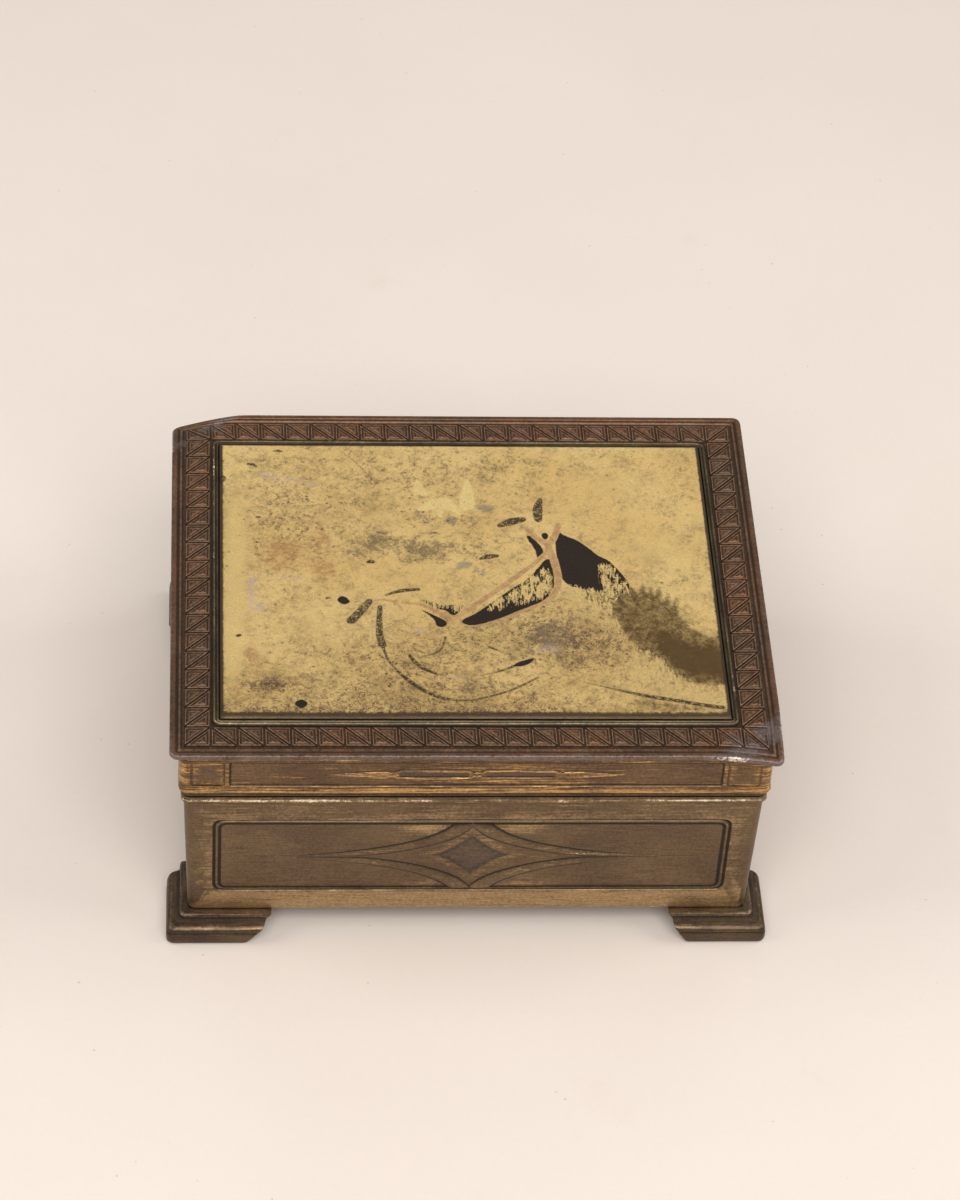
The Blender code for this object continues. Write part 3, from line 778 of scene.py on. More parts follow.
def tile_border_tree():
    """Tiles round the edge of a grid. A tile on a side band or a rising corner takes a quarter turn."""
    inputs = {
        "Tile": "Object",
        "Tile Size": "Float",
        "Across": "Int",
        "Deep": "Int",
        "Finish": "Material",
    }
    tree = GeometryTree("tile_border", inputs)
    across, deep, size = tree.given("Across"), tree.given("Deep"), tree.given("Tile Size")
    reach_x = (across - 1) * size
    reach_y = (deep - 1) * size
    grid = tree.node(
        "GeometryNodeMeshGrid",
        None,
        {"Size X": reach_x, "Size Y": reach_y, "Vertices X": across, "Vertices Y": deep},
    )
    position = tree.node("GeometryNodeInputPosition")
    x = tree.node("ShaderNodeSeparateXYZ", None, {0: position}, output="X")
    y = tree.node("ShaderNodeSeparateXYZ", None, {0: position}, output="Y")
    on_side_band = abs(x) > reach_x / 2 - size / 2
    on_end_band = abs(y) > reach_y / 2 - size / 2
    middle = 1 - on_side_band.largest(on_end_band)
    border = tree.node(
        "GeometryNodeDeleteGeometry", {"domain": "POINT"}, {"Geometry": grid, "Selection": middle > 0.5}
    )
    corner = on_side_band * on_end_band
    rising = x * y > 0
    turned = (on_side_band - corner) + corner * rising
    turn = tree.node("ShaderNodeCombineXYZ", None, {"Z": turned * (pi / 2)})
    tile = tree.node(
        "GeometryNodeObjectInfo", None, {"Object": tree.given("Tile")}, output="Geometry"
    )
    placed = tree.node(
        "GeometryNodeInstanceOnPoints", None, {"Points": border, "Instance": tile, "Rotation": turn}
    )
    tree.close(placed)
    return tree


def lid_flange(finish):
    """The lid's plate: rolled lip, two fine grooves and the sunk floor of the tile band."""
    sheet = Sheet()
    half_x, half_y = LID_HALF
    rows = []
    for inset, height, relief, rub in FLANGE_PROFILE:
        corner = max(0.35, 1.7 - inset)
        loop = ring(half_x - inset, half_y - inset, corner, LID_TOP + height, LID_STATIONS)
        rows.append(sheet.row(loop, relief, rub))
    sheet.skin_all(rows)
    sheet.cap(rows[-1])
    sheet.cap(rows[0])
    return bend_corners(sheet.piece("lid_flange", finish))


def lid_tiles(finish):
    pattern = tile_piece()
    empty = bpy.data.meshes.new("tile_band")
    tiles = tile_border_tree().run(
        "lid_tiles",
        empty,
        Tile=pattern,
        Tile_Size=TILE * MM,
        Across=TILES_ACROSS,
        Deep=TILES_DEEP,
        Finish=finish,
    )
    bpy.data.objects.remove(pattern)
    tiles.data.transform(Matrix.Translation((0, 0, LID_TOP * MM)))
    return bend_corners(shaded(tiles, finish, sharp=20))


def plate_bezel(finish):
    """Bead and fillet that hold the picture plate."""
    profile = (
        (8.25, -BAND_FLOOR, 0.0, 0.0),
        (8.30, 0.0, 0.2, 0.1),
        (8.42, 0.28, 0.6, 0.3),
        (8.62, 0.42, 0.9, 0.5),
        (8.84, 0.36, 0.7, 0.4),
        (8.98, 0.16, 0.1, 0.1),
        (9.08, 0.10, 0.0, 0.0),
        (9.18, 0.20, 0.3, 0.2),
        (9.34, 0.30, 0.6, 0.3),
        (9.52, 0.22, 0.3, 0.1),
        (9.62, -0.1, 0.0, 0.0),
        (9.70, -BAND_FLOOR, 0.0, 0.0),
    )
    sheet = Sheet()
    rows = []
    for inset, height, relief, rub in profile:
        corner = max(0.5, 10.0 - inset)
        loop = ring(
            LID_HALF[0] - inset, LID_HALF[1] - inset, corner, LID_TOP + height, LID_STATIONS
        )
        rows.append(sheet.row(loop, relief, rub))
    sheet.skin_all(rows)
    sheet.skin(rows[-1], rows[0])
    return sheet.piece("plate_bezel_bead", finish)


# Skirt below its flat band and above it: half width, height, how proud, how rubbed.
SKIRT_LOWER = (
    # Rows below the golden ledge: their low proudness darkens the lower bead, painted shade of the gap
    # between lid and case.
    (56.9, 0.0, 0.0, 0.0),
    (57.45, 0.08, 0.12, 0.0),
    (57.75, 0.3, 0.2, 0.0),
    (57.85, 0.62, 0.34, 0.1),
    (57.75, 0.88, 0.05, 0.0),
    (57.8, 1.12, 0.05, 0.0),
    (58.02, 1.3, 1.15, 0.7),
    (58.2, 1.6, 0.8, 0.85),
    (58.3, 2.2, 0.6, 0.65),
    (58.22, 2.7, 0.45, 0.5),
    (58.1, 3.15, 0.3, 0.2),
)
SKIRT_BAND = (43.65, 50.9)
SKIRT_SIDE_SCALE = 0.82  # the ornament is this much shorter on the left and right sides
SKIRT_UPPER = (
    (58.0, 51.1, 0.4, 0.2),
    (57.4, 51.5, 0.1, 0.0),
    (57.2, 52.25, 0.0, 0.0),
)


def rounded_loop(left, right, low, high, radius, count, steps=3):
    """A flat rounded rectangle as (along, z), anticlockwise from its lower left."""
    across, up = count
    corners = (
        (right - radius, low + radius, -pi / 2),
        (right - radius, high - radius, 0.0),
        (left + radius, high - radius, pi / 2),
        (left + radius, low + radius, pi),
    )
    points = []
    for index, (x, z, start) in enumerate(corners):
        arc = [start + pi / 2 * i / steps for i in range(steps + 1)]
        points += [(x + radius * cos(a), z + radius * sin(a)) for a in arc]
        next_x, next_z, next_start = corners[(index + 1) % 4]
        end = (next_x + radius * cos(next_start), next_z + radius * sin(next_start))
        start_point = points[-1]
        pieces = up if index % 2 == 0 else across
        for i in range(1, pieces):
            share = i / pieces
            points.append(
                (
                    start_point[0] + (end[0] - start_point[0]) * share,
                    start_point[1] + (end[1] - start_point[1]) * share,
                )
            )
    return points


def sunk_panel(sheet, place, cell, count, loops, wear=None, shoulder=None):
    """Fills a cell of a wall with nested loops and a flat panel.

    Cell is left, right, low, high. A loop is its inset on the sides, inset below, inset above,
    corner radius, depth, how proud and how rubbed. place turns along, z and depth into a point.
    Where a loop's rub is None, wear works it out from along and z. The first loop is joined to
    shoulder, a row that lies round the cell, where there is one.
    """
    left, right, low, high = cell
    rows = [shoulder] if shoulder else []
    for aside, below, above, radius, depth, relief, rub in loops:
        flat = rounded_loop(left + aside, right - aside, low + below, high - above, radius, count)
        rows.append(sheet.row([place(s, z, depth) for s, z in flat], relief, rub or 0.0))
        if rub is None:
            for point, (s, z) in zip(rows[-1], flat):
                sheet.rub[point] = wear(s, z)
    sheet.skin_all(rows)
    sheet.cap(rows[-1])


BELL_BASE = 2.718


def bell(value, middle, reach):
    """1 at the middle, falling smoothly to nothing some reaches away."""
    return BELL_BASE ** -(((value - middle) / reach) ** 2)


def corner_posts(sheet, heights, centre, relief, rub):
    """Rounded strips up the four corners. centre gives the middle of their curve at a height."""
    for turn, (side_x, side_y) in enumerate(CORNERS):
        posts = []
        for z in heights:
            x, y = centre(z)
            arc = []
            for step in range(5):
                angle = pi / 2 * (turn + step / 4)
                around = (WALL_CORNER * cos(angle), WALL_CORNER * sin(angle))
                arc.append((side_x * x + around[0], side_y * y + around[1], z))
            posts.append(sheet.row(arc, relief, rub))
        sheet.skin_all(posts, closed=False)


def lid_skirt(finish):
    """Skirt of the lid: golden ledge, corner posts, end blocks and a long sunk panel each side."""
    sheet = Sheet()
    straight = (SKIRT_HALF - WALL_CORNER, SKIRT_HALF - DEPTH_LESS - WALL_CORNER)
    block_steps, long_steps, up_steps = 4, 44, 5
    stations = []
    for reach in straight:
        edge = (reach - 7.9) / reach
        stations.append(
            evenly(-1, -edge, block_steps)[:-1]
            + evenly(-edge, edge, long_steps)
            + evenly(edge, 1, block_steps)[1:]
        )
    rows = []
    for half, z, relief, rub in SKIRT_LOWER:
        loop = ring(half, half - DEPTH_LESS, WALL_CORNER, SKIRT_BOTTOM + z, stations)
        rows.append(sheet.row(loop, relief, rub))
    band_low, band_high = SKIRT_BAND
    lower_edge = ring(SKIRT_HALF, SKIRT_HALF - DEPTH_LESS, WALL_CORNER, band_low, stations)
    rows[-1] = sheet.row(lower_edge, 0.5, 0.7)
    sheet.skin_all(rows)
    upper_edge = ring(SKIRT_HALF, SKIRT_HALF - DEPTH_LESS, WALL_CORNER, band_high, stations)
    upper = [sheet.row(upper_edge, 0.5, 0.2)]
    for half, z, relief, rub in SKIRT_UPPER:
        upper.append(sheet.row(ring(half, half - DEPTH_LESS, WALL_CORNER, z, stations), relief, rub))
    for half, z in ((SKIRT_INNER, SKIRT_UPPER[-1][1]), (SKIRT_INNER, SKIRT_BOTTOM)):
        upper.append(sheet.row(ring(half, half - DEPTH_LESS, WALL_CORNER / 2, z, stations), 0.4, 0.2))
    sheet.skin_all(upper)
    sheet.skin(upper[-1], rows[0])

    corner_posts(sheet, evenly(band_low, band_high, up_steps), lambda z: straight, 0.8, 0.6)

    block_loops = (
        (0.0, 0.0, 0.0, 0.0, 0.0, 0.55, 0.3),
        (0.55, 0.30, 0.35, 0.15, 0.0, 0.6, 0.35),
        (0.75, 0.35, 0.50, 0.15, 0.22, 0.28, 0.1),
        (1.05, 0.45, 0.65, 0.15, 0.22, 0.32, 0.2),
        (1.30, 0.60, 0.85, 0.2, 0.10, 0.55, 0.45),
        (2.40, 1.60, 1.90, 0.2, 0.14, 0.45, 0.05),
        (3.00, 2.10, 2.20, 0.2, 0.14, 0.42, -0.1),
    )
    long_loops = (
        (0.0, 0.0, 0.0, 0.0, 0.0, 0.55, 0.5),
        (0.12, 0.10, 0.30, 0.3, 0.02, 0.55, 0.4),
        (0.35, 0.28, 0.55, 0.4, 0.28, 0.05, 0.0),
        (0.62, 0.45, 0.80, 0.4, 0.32, 0.2, 0.1),
        (0.90, 0.70, 1.10, 0.5, 0.30, 0.5, None),
        (1.40, 1.20, 1.60, 0.5, 0.28, 0.5, None),
        (2.00, 1.90, 2.10, 0.4, 0.28, 0.5, None),
        (2.80, 2.70, 2.80, 0.3, 0.28, 0.5, None),
    )
    for side in range(4):
        reach = straight[side % 2]
        face = SKIRT_HALF - inset_of(side)

        def place(along, z, depth, side=side, face=face):
            return on_side(side, along, face - depth, z)

        middle_z = (band_low + band_high) / 2 - 0.4

        def wear(along, z, side=side, middle_z=middle_z):
            """Gold comes through round the ornament and along the lower edge."""
            scale = 1.0 if side % 2 == 0 else SKIRT_SIDE_SCALE
            round_ornament = bell(along, 0, 21 * scale) * bell(z, middle_z, 2.4)
            below = bell(z, band_low, 1.3) * (0.35 + 0.65 * bell(along, 8, 34))
            streak = bell(along, -37 * scale, 7) * bell(z, middle_z, 0.8)
            return -0.12 + 0.95 * max(round_ornament, below * 0.9, streak)

        edge = reach - 7.9
        for left, right in ((-reach, -edge), (edge, reach)):
            cell = (left, right, band_low, band_high)
            sunk_panel(sheet, place, cell, (block_steps, up_steps), block_loops)
        cell = (-edge, edge, band_low, band_high)
        sunk_panel(sheet, place, cell, (long_steps, up_steps), long_loops, wear)
    return bend_corners(sheet.piece("lid_skirt_cast", finish), SKIRT_BOTTOM)


def skirt_ornament(lines, finish):
    """Knot with two long bars and drawn-out tips, on each side of the skirt."""
    centre_z = 46.9
    pieces = []
    for side in range(4):
        scale = 1.0 if side % 2 == 0 else SKIRT_SIDE_SCALE

        def bar_edge(along, scale=scale):
            """Half height of the ornament at a distance from the knot."""
            far = abs(along) / scale
            if far < 1.7:
                return 0.32 + 0.68 * abs(far - 0.5) / 1.2
            if far < 15.0:
                return 1.0
            if far < 16.5:
                return 0.28 + 0.72 * (16.5 - far) / 1.5
            if far < 18.2:
                return 0.28 + 0.42 * (far - 16.5) / 1.7
            return max(0.0, 0.7 * (29.0 - far) / 10.8)

        stations = [i * 0.5 * scale for i in range(-58, 59)]
        paths, radii = [], []
        for direction in (-1, 1):
            paths.append([(s, direction * bar_edge(s)) for s in stations])
            radii.append([0.3 + 0.7 * min(1.0, (30 * scale - abs(s)) / (9 * scale)) for s in stations])
        line = lines.run(
            f"skirt_ornament_{side}",
            curve_data("skirt_ornament", paths, radii),
            Width=0.85 * MM,
            Height=0.34 * MM,
            Finish=finish,
        )
        # Dark feet and rubbed crest: partly painted shade and painted highlight.
        add_wear_and_shade(line, 0.6, 0.62)
        face = SKIRT_HALF - inset_of(side) - 0.28

        def place(along, up, proud, side=side, face=face):
            return on_side(side, along, face + proud, centre_z + up)

        fit_line(line.data, place)
        pieces.append(shaded(line, finish, sharp=60))

        sheet = Sheet()
        rows = []
        for share, proud in ((-1, 0.0), (-0.8, 0.07), (0.1, 0.09), (1, 0.0)):
            rows.append(sheet.row([place(s, share * bar_edge(s), proud) for s in stations]))
            for point, s in zip(rows[-1], stations):
                in_bar = 1.7 < abs(s) / scale < 15.4
                sheet.relief[point] = (0.05 if share < 0 else 0.42) if in_bar else 0.6
                sheet.rub[point] = -0.6 if in_bar else 0.75
        sheet.skin_all(rows, closed=False)
        pieces.append(sheet.piece(f"skirt_slots_{side}", finish))
    return join("lid_skirt_ornament", pieces)


def join(name, pieces):
    """Makes one object of several."""
    bm = bmesh.new()
    for piece in pieces:
        bm.from_mesh(piece.data)
    finish = pieces[0].data.materials[0]
    mesh = bpy.data.meshes.new(name)
    bm.to_mesh(mesh)
    bm.free()
    for piece in pieces:
        bpy.data.objects.remove(piece)
    return shaded(bpy.data.objects.new(name, mesh), finish, sharp=50)


# ---------------------------------------------------------------------------------------------
# Picture plate
# ---------------------------------------------------------------------------------------------

# The picture, in millimetres from the middle of the plate: a worn horse's head over a horseshoe.
# First the parts of the dark enamel.
NECK = (
    (18.9, 13.0), (20.4, 12.0), (22.8, 10.6), (24.9, 8.4), (26.9, 6.1), (28.6, 4.9), (29.7, 3.4),
    (30.8, 1.6), (32.6, -2.6), (31.0, -4.8), (27.9, -5.8), (26.5, -4.6), (23.6, -3.8),
    (20.4, -2.6), (18.8, 0.2), (18.5, 4.3), (18.3, 8.5),
)
THROAT = (
    (-1.9, -13.0), (0.9, -10.8), (4.0, -8.0), (8.0, -4.2), (12.4, -0.4), (15.9, 4.8), (17.2, 4.0),
    (17.6, -1.0), (16.8, -5.4), (12.0, -9.2), (5.2, -12.4), (0.4, -14.1),
)
ENAMEL_SHAPES = (
    NECK,
    THROAT,
    (
        (-9.8, -6.8), (-7.6, -7.6), (-5.4, -8.4), (-1.6, -8.4), (-2.0, -9.9), (-3.5, -11.4),
        (-5.0, -9.9), (-7.4, -9.2),
    ),
    ((-9.8, -9.8), (-7.5, -11.2), (-4.9, -13.2), (-5.6, -14.6), (-6.9, -14.2), (-7.5, -12.3)),
    ((-26.6, -7.1), (-26.0, -6.0), (-25.0, -6.2), (-24.1, -7.6), (-25.5, -8.3)),
    ((12.5, 11.6), (14.0, 7.8), (14.4, 5.4), (15.7, 7.2), (14.6, 10.0), (13.4, 11.8)),
    ((15.6, 12.4), (16.6, 12.8), (16.9, 11.4), (16.0, 10.8)),
    ((-35.6, -36.0), (-34.3, -34.9), (-33.1, -36.0), (-34.3, -37.3)),
    ((7.8, -25.6), (9.2, -24.4), (12.0, -23.4), (11.2, -24.8), (9.5, -25.6)),
)
# Path, then half width at its start, middle and end.
DRAWN_LINES = (
    (((-18.1, -9.0), (-18.4, -13.2), (-18.4, -17.0), (-18.0, -19.8)), (0.5, 0.66, 0.85)),
    (((-18.0, -19.8), (-16.9, -24.0), (-15.0, -27.3), (-12.8, -30.0)), (0.3, 0.2, 0.5)),
    (
        ((-12.8, -30.0), (-10.3, -32.3), (-7.4, -34.2), (-3.8, -35.1), (-0.6, -35.1)),
        (0.5, 0.36, 0.18),
    ),
    (((-0.6, -35.1), (3.8, -33.7), (7.8, -31.9), (12.6, -28.8)), (0.18, 0.24, 0.2)),
    (((-12.8, -22.4), (-11.7, -24.5), (-10.1, -26.3), (-7.5, -27.8)), (0.26, 0.5, 0.3)),
    (((0.8, -28.4), (4.7, -27.2), (7.8, -25.7)), (0.05, 0.2, 0.35)),
    (((-10.6, -23.1), (-7.9, -22.2), (-6.2, -20.7), (-5.3, -17.4)), (0.08, 0.2, 0.2)),
    (((3.4, -20.3), (6.0, -21.8), (8.6, -23.3)), (0.3, 0.12, 0.1)),
    (
        (
            (21.4, -30.0), (28.4, -32.2), (32.6, -33.5), (39.1, -35.0), (45.6, -36.5),
            (48.6, -37.0),
        ),
        (0.06, 0.5, 0.5),
    ),
    (((2.6, 5.0), (4.3, 5.7), (6.2, 5.9)), (0.2, 0.75, 0.4)),
    (((-16.9, -5.6), (-13.6, -4.3), (-10.2, -3.9)), (0.25, 0.5, 0.4)),
    (((-24.0, -13.0), (-22.0, -10.2), (-20.2, -7.4)), (0.95, 0.95, 0.7)),
    (((7.2, 14.9), (9.6, 16.1), (12.0, 16.8)), (0.6, 1.1, 0.7)),
    (((15.2, 16.8), (15.2, 19.6), (15.9, 22.8)), (0.8, 1.1, 0.5)),
    (((-7.6, 12.3), (-6.4, 12.7), (-5.2, 12.4)), (0.1, 0.28, 0.1)),
    (((-20.2, 4.0), (-19.6, 4.2), (-19.0, 4.0)), (0.35, 0.6, 0.35)),
    (((-25.3, 37.7), (-22.0, 34.0), (-20.0, 31.0), (-17.3, 27.3)), (0.06, 0.14, 0.08)),
    (((-46.7, -17.2), (-46.1, -17.0)), (0.35, 0.4, 0.35)),
    (((-44.4, 33.4), (-43.4, 33.2), (-42.6, 32.6)), (0.25, 0.45, 0.25)),
    (((-39.0, 37.3), (-38.0, 37.4), (-37.2, 37.2)), (0.2, 0.4, 0.2)),
    (((-49.9, 29.6), (-49.6, 28.9), (-49.9, 28.0)), (0.5, 0.8, 0.5)),
    (((-28.8, -6.5), (-28.2, -6.4)), (0.3, 0.3, 0.3)),
    (((-42.6, 17.2), (-42.0, 17.2)), (0.25, 0.3, 0.25)),
)
# The bridle, in the same form.
STRAPS = (
    (((12.5, 14.2), (14.5, 11.3), (16.8, 9.4)), (0.4, 0.6, 0.7)),
    (
        (
            (19.2, 15.2), (18.0, 11.1), (16.8, 8.9), (17.7, 4.7), (18.2, 0.8), (18.0, -3.1),
            (16.6, -6.0),
        ),
        (0.6, 0.75, 0.6),
    ),
    (((16.6, -6.0), (14.5, -7.9), (10.3, -10.1), (5.8, -12.5), (1.0, -14.6)), (0.5, 0.3, 0.15)),
    (
        (
            (16.7, 7.4), (13.8, 3.9), (10.9, 1.0), (7.3, -2.5), (3.1, -6.4), (-1.5, -10.6),
            (-3.9, -12.6),
        ),
        (0.4, 0.65, 0.5),
    ),
    (((-3.5, -12.0), (-5.5, -11.1), (-9.4, -8.5), (-13.7, -7.7)), (0.6, 0.5, 0.2)),
    (((-19.4, -7.3), (-17.1, -6.9), (-14.7, -8.0), (-13.8, -9.9)), (0.15, 0.35, 0.2)),
)
# Brown smoke behind the neck and below it: outline, softness of its edge, strength.
SMOKE_SHAPES = (
    (
        (
            (27.0, -3.6), (31.5, -2.4), (33.2, -2.9), (34.3, -4.4), (35.5, -0.7), (36.0, -4.4),
            (37.1, -2.1), (37.6, -5.1), (38.5, -2.1), (39.2, -6.8), (40.4, -4.9), (40.8, -7.9),
            (41.9, -5.6), (42.2, -10.6), (44.0, -14.6), (52.0, -19.6), (52.0, -31.0),
            (41.4, -30.6), (36.1, -25.6), (32.4, -20.6), (29.6, -14.4), (26.0, -9.0),
            (22.0, -6.0), (20.0, -3.6),
        ),
        1.4,
        0.82,
    ),
    (
        (
            (36.0, -12.0), (41.0, -13.4), (44.4, -17.0), (58.0, -18.0), (58.0, -31.4),
            (45.7, -31.4), (41.4, -30.0), (38.0, -27.5), (35.4, -23.5), (33.8, -18.0),
            (34.0, -13.0),
        ),
        9.0,
        1.15,
    ),
    (
        (
            (23.0, -3.0), (28.0, -3.6), (31.5, -6.4), (34.6, -12.0), (32.0, -10.6), (28.8, -8.0),
            (25.0, -5.6),
        ),
        2.0,
        0.95,
    ),
    (
        (
            (30.4, -34.4), (36.0, -34.8), (45.0, -36.6), (48.5, -37.4), (46.0, -38.6),
            (31.4, -38.4),
        ),
        2.0,
        0.6,
    ),
)
# Pale shapes where the enamel has gone.
GHOST_SHAPES = (
    ((-0.8, 20.0), (-0.3, 25.6), (1.0, 29.1), (2.2, 25.6), (2.3, 20.5), (0.9, 19.5)),
    (
        (-9.7, 19.5), (-7.6, 22.0), (-4.1, 23.5), (-2.1, 22.0), (-0.5, 18.0), (-2.4, 18.9),
        (-3.9, 19.5), (-5.0, 16.9), (-5.9, 19.6), (-8.3, 19.2),
    ),
    ((-10.2, 24.6), (-9.9, 28.4), (-8.6, 28.0), (-7.4, 24.0)),
)
# Soft spots: middle, reach along x and y, strength.
BARE_SPOTS = (
    (-40.8, 30.2, 2.6, 1.6, 0.9), (-36.0, 28.4, 4.0, 1.6, 0.9), (-31.0, 26.8, 2.4, 1.2, 0.8),
    (-45.7, 36.9, 2.6, 0.9, 0.9), (-43.6, -4.0, 1.5, 5.8, 1.2), (-42.6, -9.2, 2.4, 1.4, 1.0),
    (-39.3, -0.2, 3.0, 1.0, 0.8), (-33.8, -0.8, 3.4, 1.0, 0.9), (-10.3, -15.6, 2.2, 1.1, 1.2),
    (-3.6, -28.6, 2.8, 0.8, 1.2), (14.9, -21.0, 3.4, 1.3, 1.0), (17.0, -18.0, 5.0, 4.0, 0.5),
    (15.0, 13.1, 0.9, 0.6, 0.9), (-40.0, 21.5, 4.5, 0.9, 0.6), (-22.0, -3.6, 1.6, 1.6, 0.6),
    (-40.4, -29.4, 2.4, 1.4, 0.6),
)
BLUE_SPOTS = (
    (-0.8, 3.2, 2.2, 1.6, 0.9), (3.3, 1.0, 1.6, 1.6, 0.7), (4.7, 20.3, 3.0, 1.3, 0.9),
    (-2.6, 16.3, 1.8, 2.0, 0.7), (-22.2, 8.0, 1.8, 1.6, 0.7), (16.6, -16.0, 6.0, 5.0, 0.5),
    (-9.3, 17.4, 2.2, 1.2, 0.6), (1.5, 16.5, 0.8, 1.8, 0.6), (-25.8, -9.6, 3.0, 2.6, 0.35),
)
AMBER_SPOTS = (
    (-38.4, 5.0, 4.0, 5.0, 1.0), (-29.3, 1.6, 3.2, 3.4, 1.0), (-29.5, 11.6, 2.4, 3.0, 0.9),
    (-34.0, 8.0, 8.0, 6.0, 0.6), (-44.0, -22.5, 2.0, 5.0, 1.0), (-20.0, 30.0, 8.0, 4.0, 0.35),
    (9.0, 16.0, 7.0, 3.0, 0.5), (11.0, -2.0, 6.0, 4.0, 0.35), (-28.0, 26.0, 8.0, 5.0, 0.3),
    (16.0, 26.0, 6.0, 5.0, 0.5), (-13.0, -32.0, 5.0, 3.0, 0.4),
)
GREY_CLOUDS = (
    (-17.8, 11.0, 4.4, 3.6, 0.62), (-21.6, 7.0, 3.8, 2.8, 0.65), (-11.0, 8.6, 7.0, 3.8, 0.5),
    (-4.5, 7.0, 8.0, 4.2, 0.45), (3.0, 9.4, 6.5, 3.6, 0.36), (-14.6, -25.6, 2.4, 3.4, 0.4),
    (-9.6, -30.2, 3.4, 2.4, 0.4), (-2.0, -32.6, 4.0, 1.8, 0.4), (6.0, -30.4, 5.0, 1.9, 0.4),
    (-4.0, -21.0, 5.0, 3.4, 0.35), (4.0, -23.6, 5.0, 1.8, 0.3), (-9.0, 16.6, 3.2, 1.8, 0.75),
    (-2.6, 16.4, 2.2, 2.2, 0.75), (1.5, 17.0, 1.2, 2.4, 0.6), (-11.8, 4.2, 3.4, 2.4, 0.45),
    (17.6, -17.2, 6.4, 7.4, 0.72), (11.0, -16.0, 5.0, 4.0, 0.4), (-37.0, 22.0, 12.0, 9.0, 0.2),
    (2.0, 34.0, 26.0, 4.5, 0.3), (-12.0, 27.0, 14.0, 6.0, 0.25), (-42.2, 10.0, 1.2, 5.0, 0.45),
    (-24.0, -28.0, 12.0, 5.0, 0.2), (-1.0, -31.8, 11.0, 1.8, 0.4), (12.0, 30.0, 7.0, 4.0, 0.3),
)
# Painted highlights on the gilding, as soft spots in the same form.
PAINTED_HIGHLIGHT_SPOTS = (
    (-46.6, 10.0, 3.0, 20.0, 0.9), (-47.5, -20.0, 2.6, 14.0, 0.8), (-13.0, 13.6, 6.0, 0.9, 0.7),
    (-17.0, 17.6, 4.5, 3.0, 0.7), (-24.0, 5.0, 4.0, 2.6, 0.4), (-6.0, 2.6, 5.5, 1.6, 0.6),
    (-12.6, -1.0, 6.0, 2.4, 0.6), (-19.0, -6.0, 3.0, 1.4, 0.6), (30.0, 27.0, 14.0, 7.0, 0.5),
    (38.0, 8.0, 10.0, 10.0, 0.5), (-30.0, -14.0, 12.0, 7.0, 0.5), (2.0, -4.0, 5.0, 2.0, 0.4),
    (-29.0, 16.8, 2.2, 1.8, 0.6),
)
LOOSE_GRIME = ((-41, -30.5, 5, 2.4, 0.6), (-15, -26, 20, 9, 0.35), (24, -20, 12, 9, 0.45))
FAINT_GRIME = ((-22, 24, 26, 14, 0.22), (8, -16, 22, 8, 0.3), (-38, 14, 9, 18, 0.2))
# Outlines within which bright strokes cut through the dark.
HATCHED = (
    (
        (3.7, -8.6), (8.0, -4.6), (12.4, -0.8), (15.6, 2.0), (17.2, -1.0), (16.4, -4.8),
        (12.0, -7.4), (8.7, -8.0), (5.3, -9.4),
    ),
    ((-10.0, -6.3), (-5.4, -7.8), (-1.2, -8.0), (-2.0, -10.6), (-5.0, -9.6), (-8.0, -9.6)),
    (
        (19.4, -2.6), (23.6, -3.4), (27.0, -4.2), (27.4, -1.0), (27.2, 3.0), (29.6, 2.6),
        (31.6, -0.6), (33.0, -3.4), (31.6, -5.6), (29.0, -6.4), (28.6, -11.0), (30.4, -18.6),
        (26.0, -15.6), (23.0, -11.0), (20.0, -6.6),
    ),
    (
        (32.6, -20.0), (36.0, -22.4), (39.6, -27.4), (44.0, -30.6), (49.5, -31.0), (49.5, -36.0),
        (38.0, -33.0), (29.0, -26.0),
    ),
)


def ellipse_sum(points, spots):
    """Adds soft elliptical spots up, at most 1."""
    total = np.zeros(len(points))
    for x, y, reach_x, reach_y, strength in spots:
        far = ((points[:, 0] - x) / reach_x) ** 2 + ((points[:, 1] - y) / reach_y) ** 2
        total += strength * np.exp(-far)
    return np.clip(total, 0, 1)


def distance_to_path(points, path, widths):
    """Distance from a path less its half width there, and less than 0 inside it."""
    best = np.full(len(points), 1e3)
    shares = np.linspace(0, 1, len(path))
    along = np.interp(shares, (0, 0.5, 1), widths)
    for i in range(len(path) - 1):
        start, span = path[i], path[i + 1] - path[i]
        t = np.clip(((points - start) @ span) / max(span @ span, 1e-9), 0, 1)
        far = np.linalg.norm(points - start - t[:, None] * span, axis=1)
        best = np.minimum(best, far - (along[i] * (1 - t) + along[i + 1] * t))
    return best


def distance_to_shape(points, outline):
    """Signed distance from a closed outline, less than 0 inside."""
    away = distance_to_path(points, np.vstack([outline, outline[:1]]), (0, 0, 0))
    inside = np.zeros(len(points), bool)
    for (x0, y0), (x1, y1) in zip(outline, np.roll(outline, -1, axis=0)):
        crosses = (y0 > points[:, 1]) != (y1 > points[:, 1])
        span = y1 - y0 if y1 != y0 else 1e-9
        inside ^= crosses & (points[:, 0] < (x1 - x0) * (points[:, 1] - y0) / span + x0)
    return np.where(inside, -away, away)


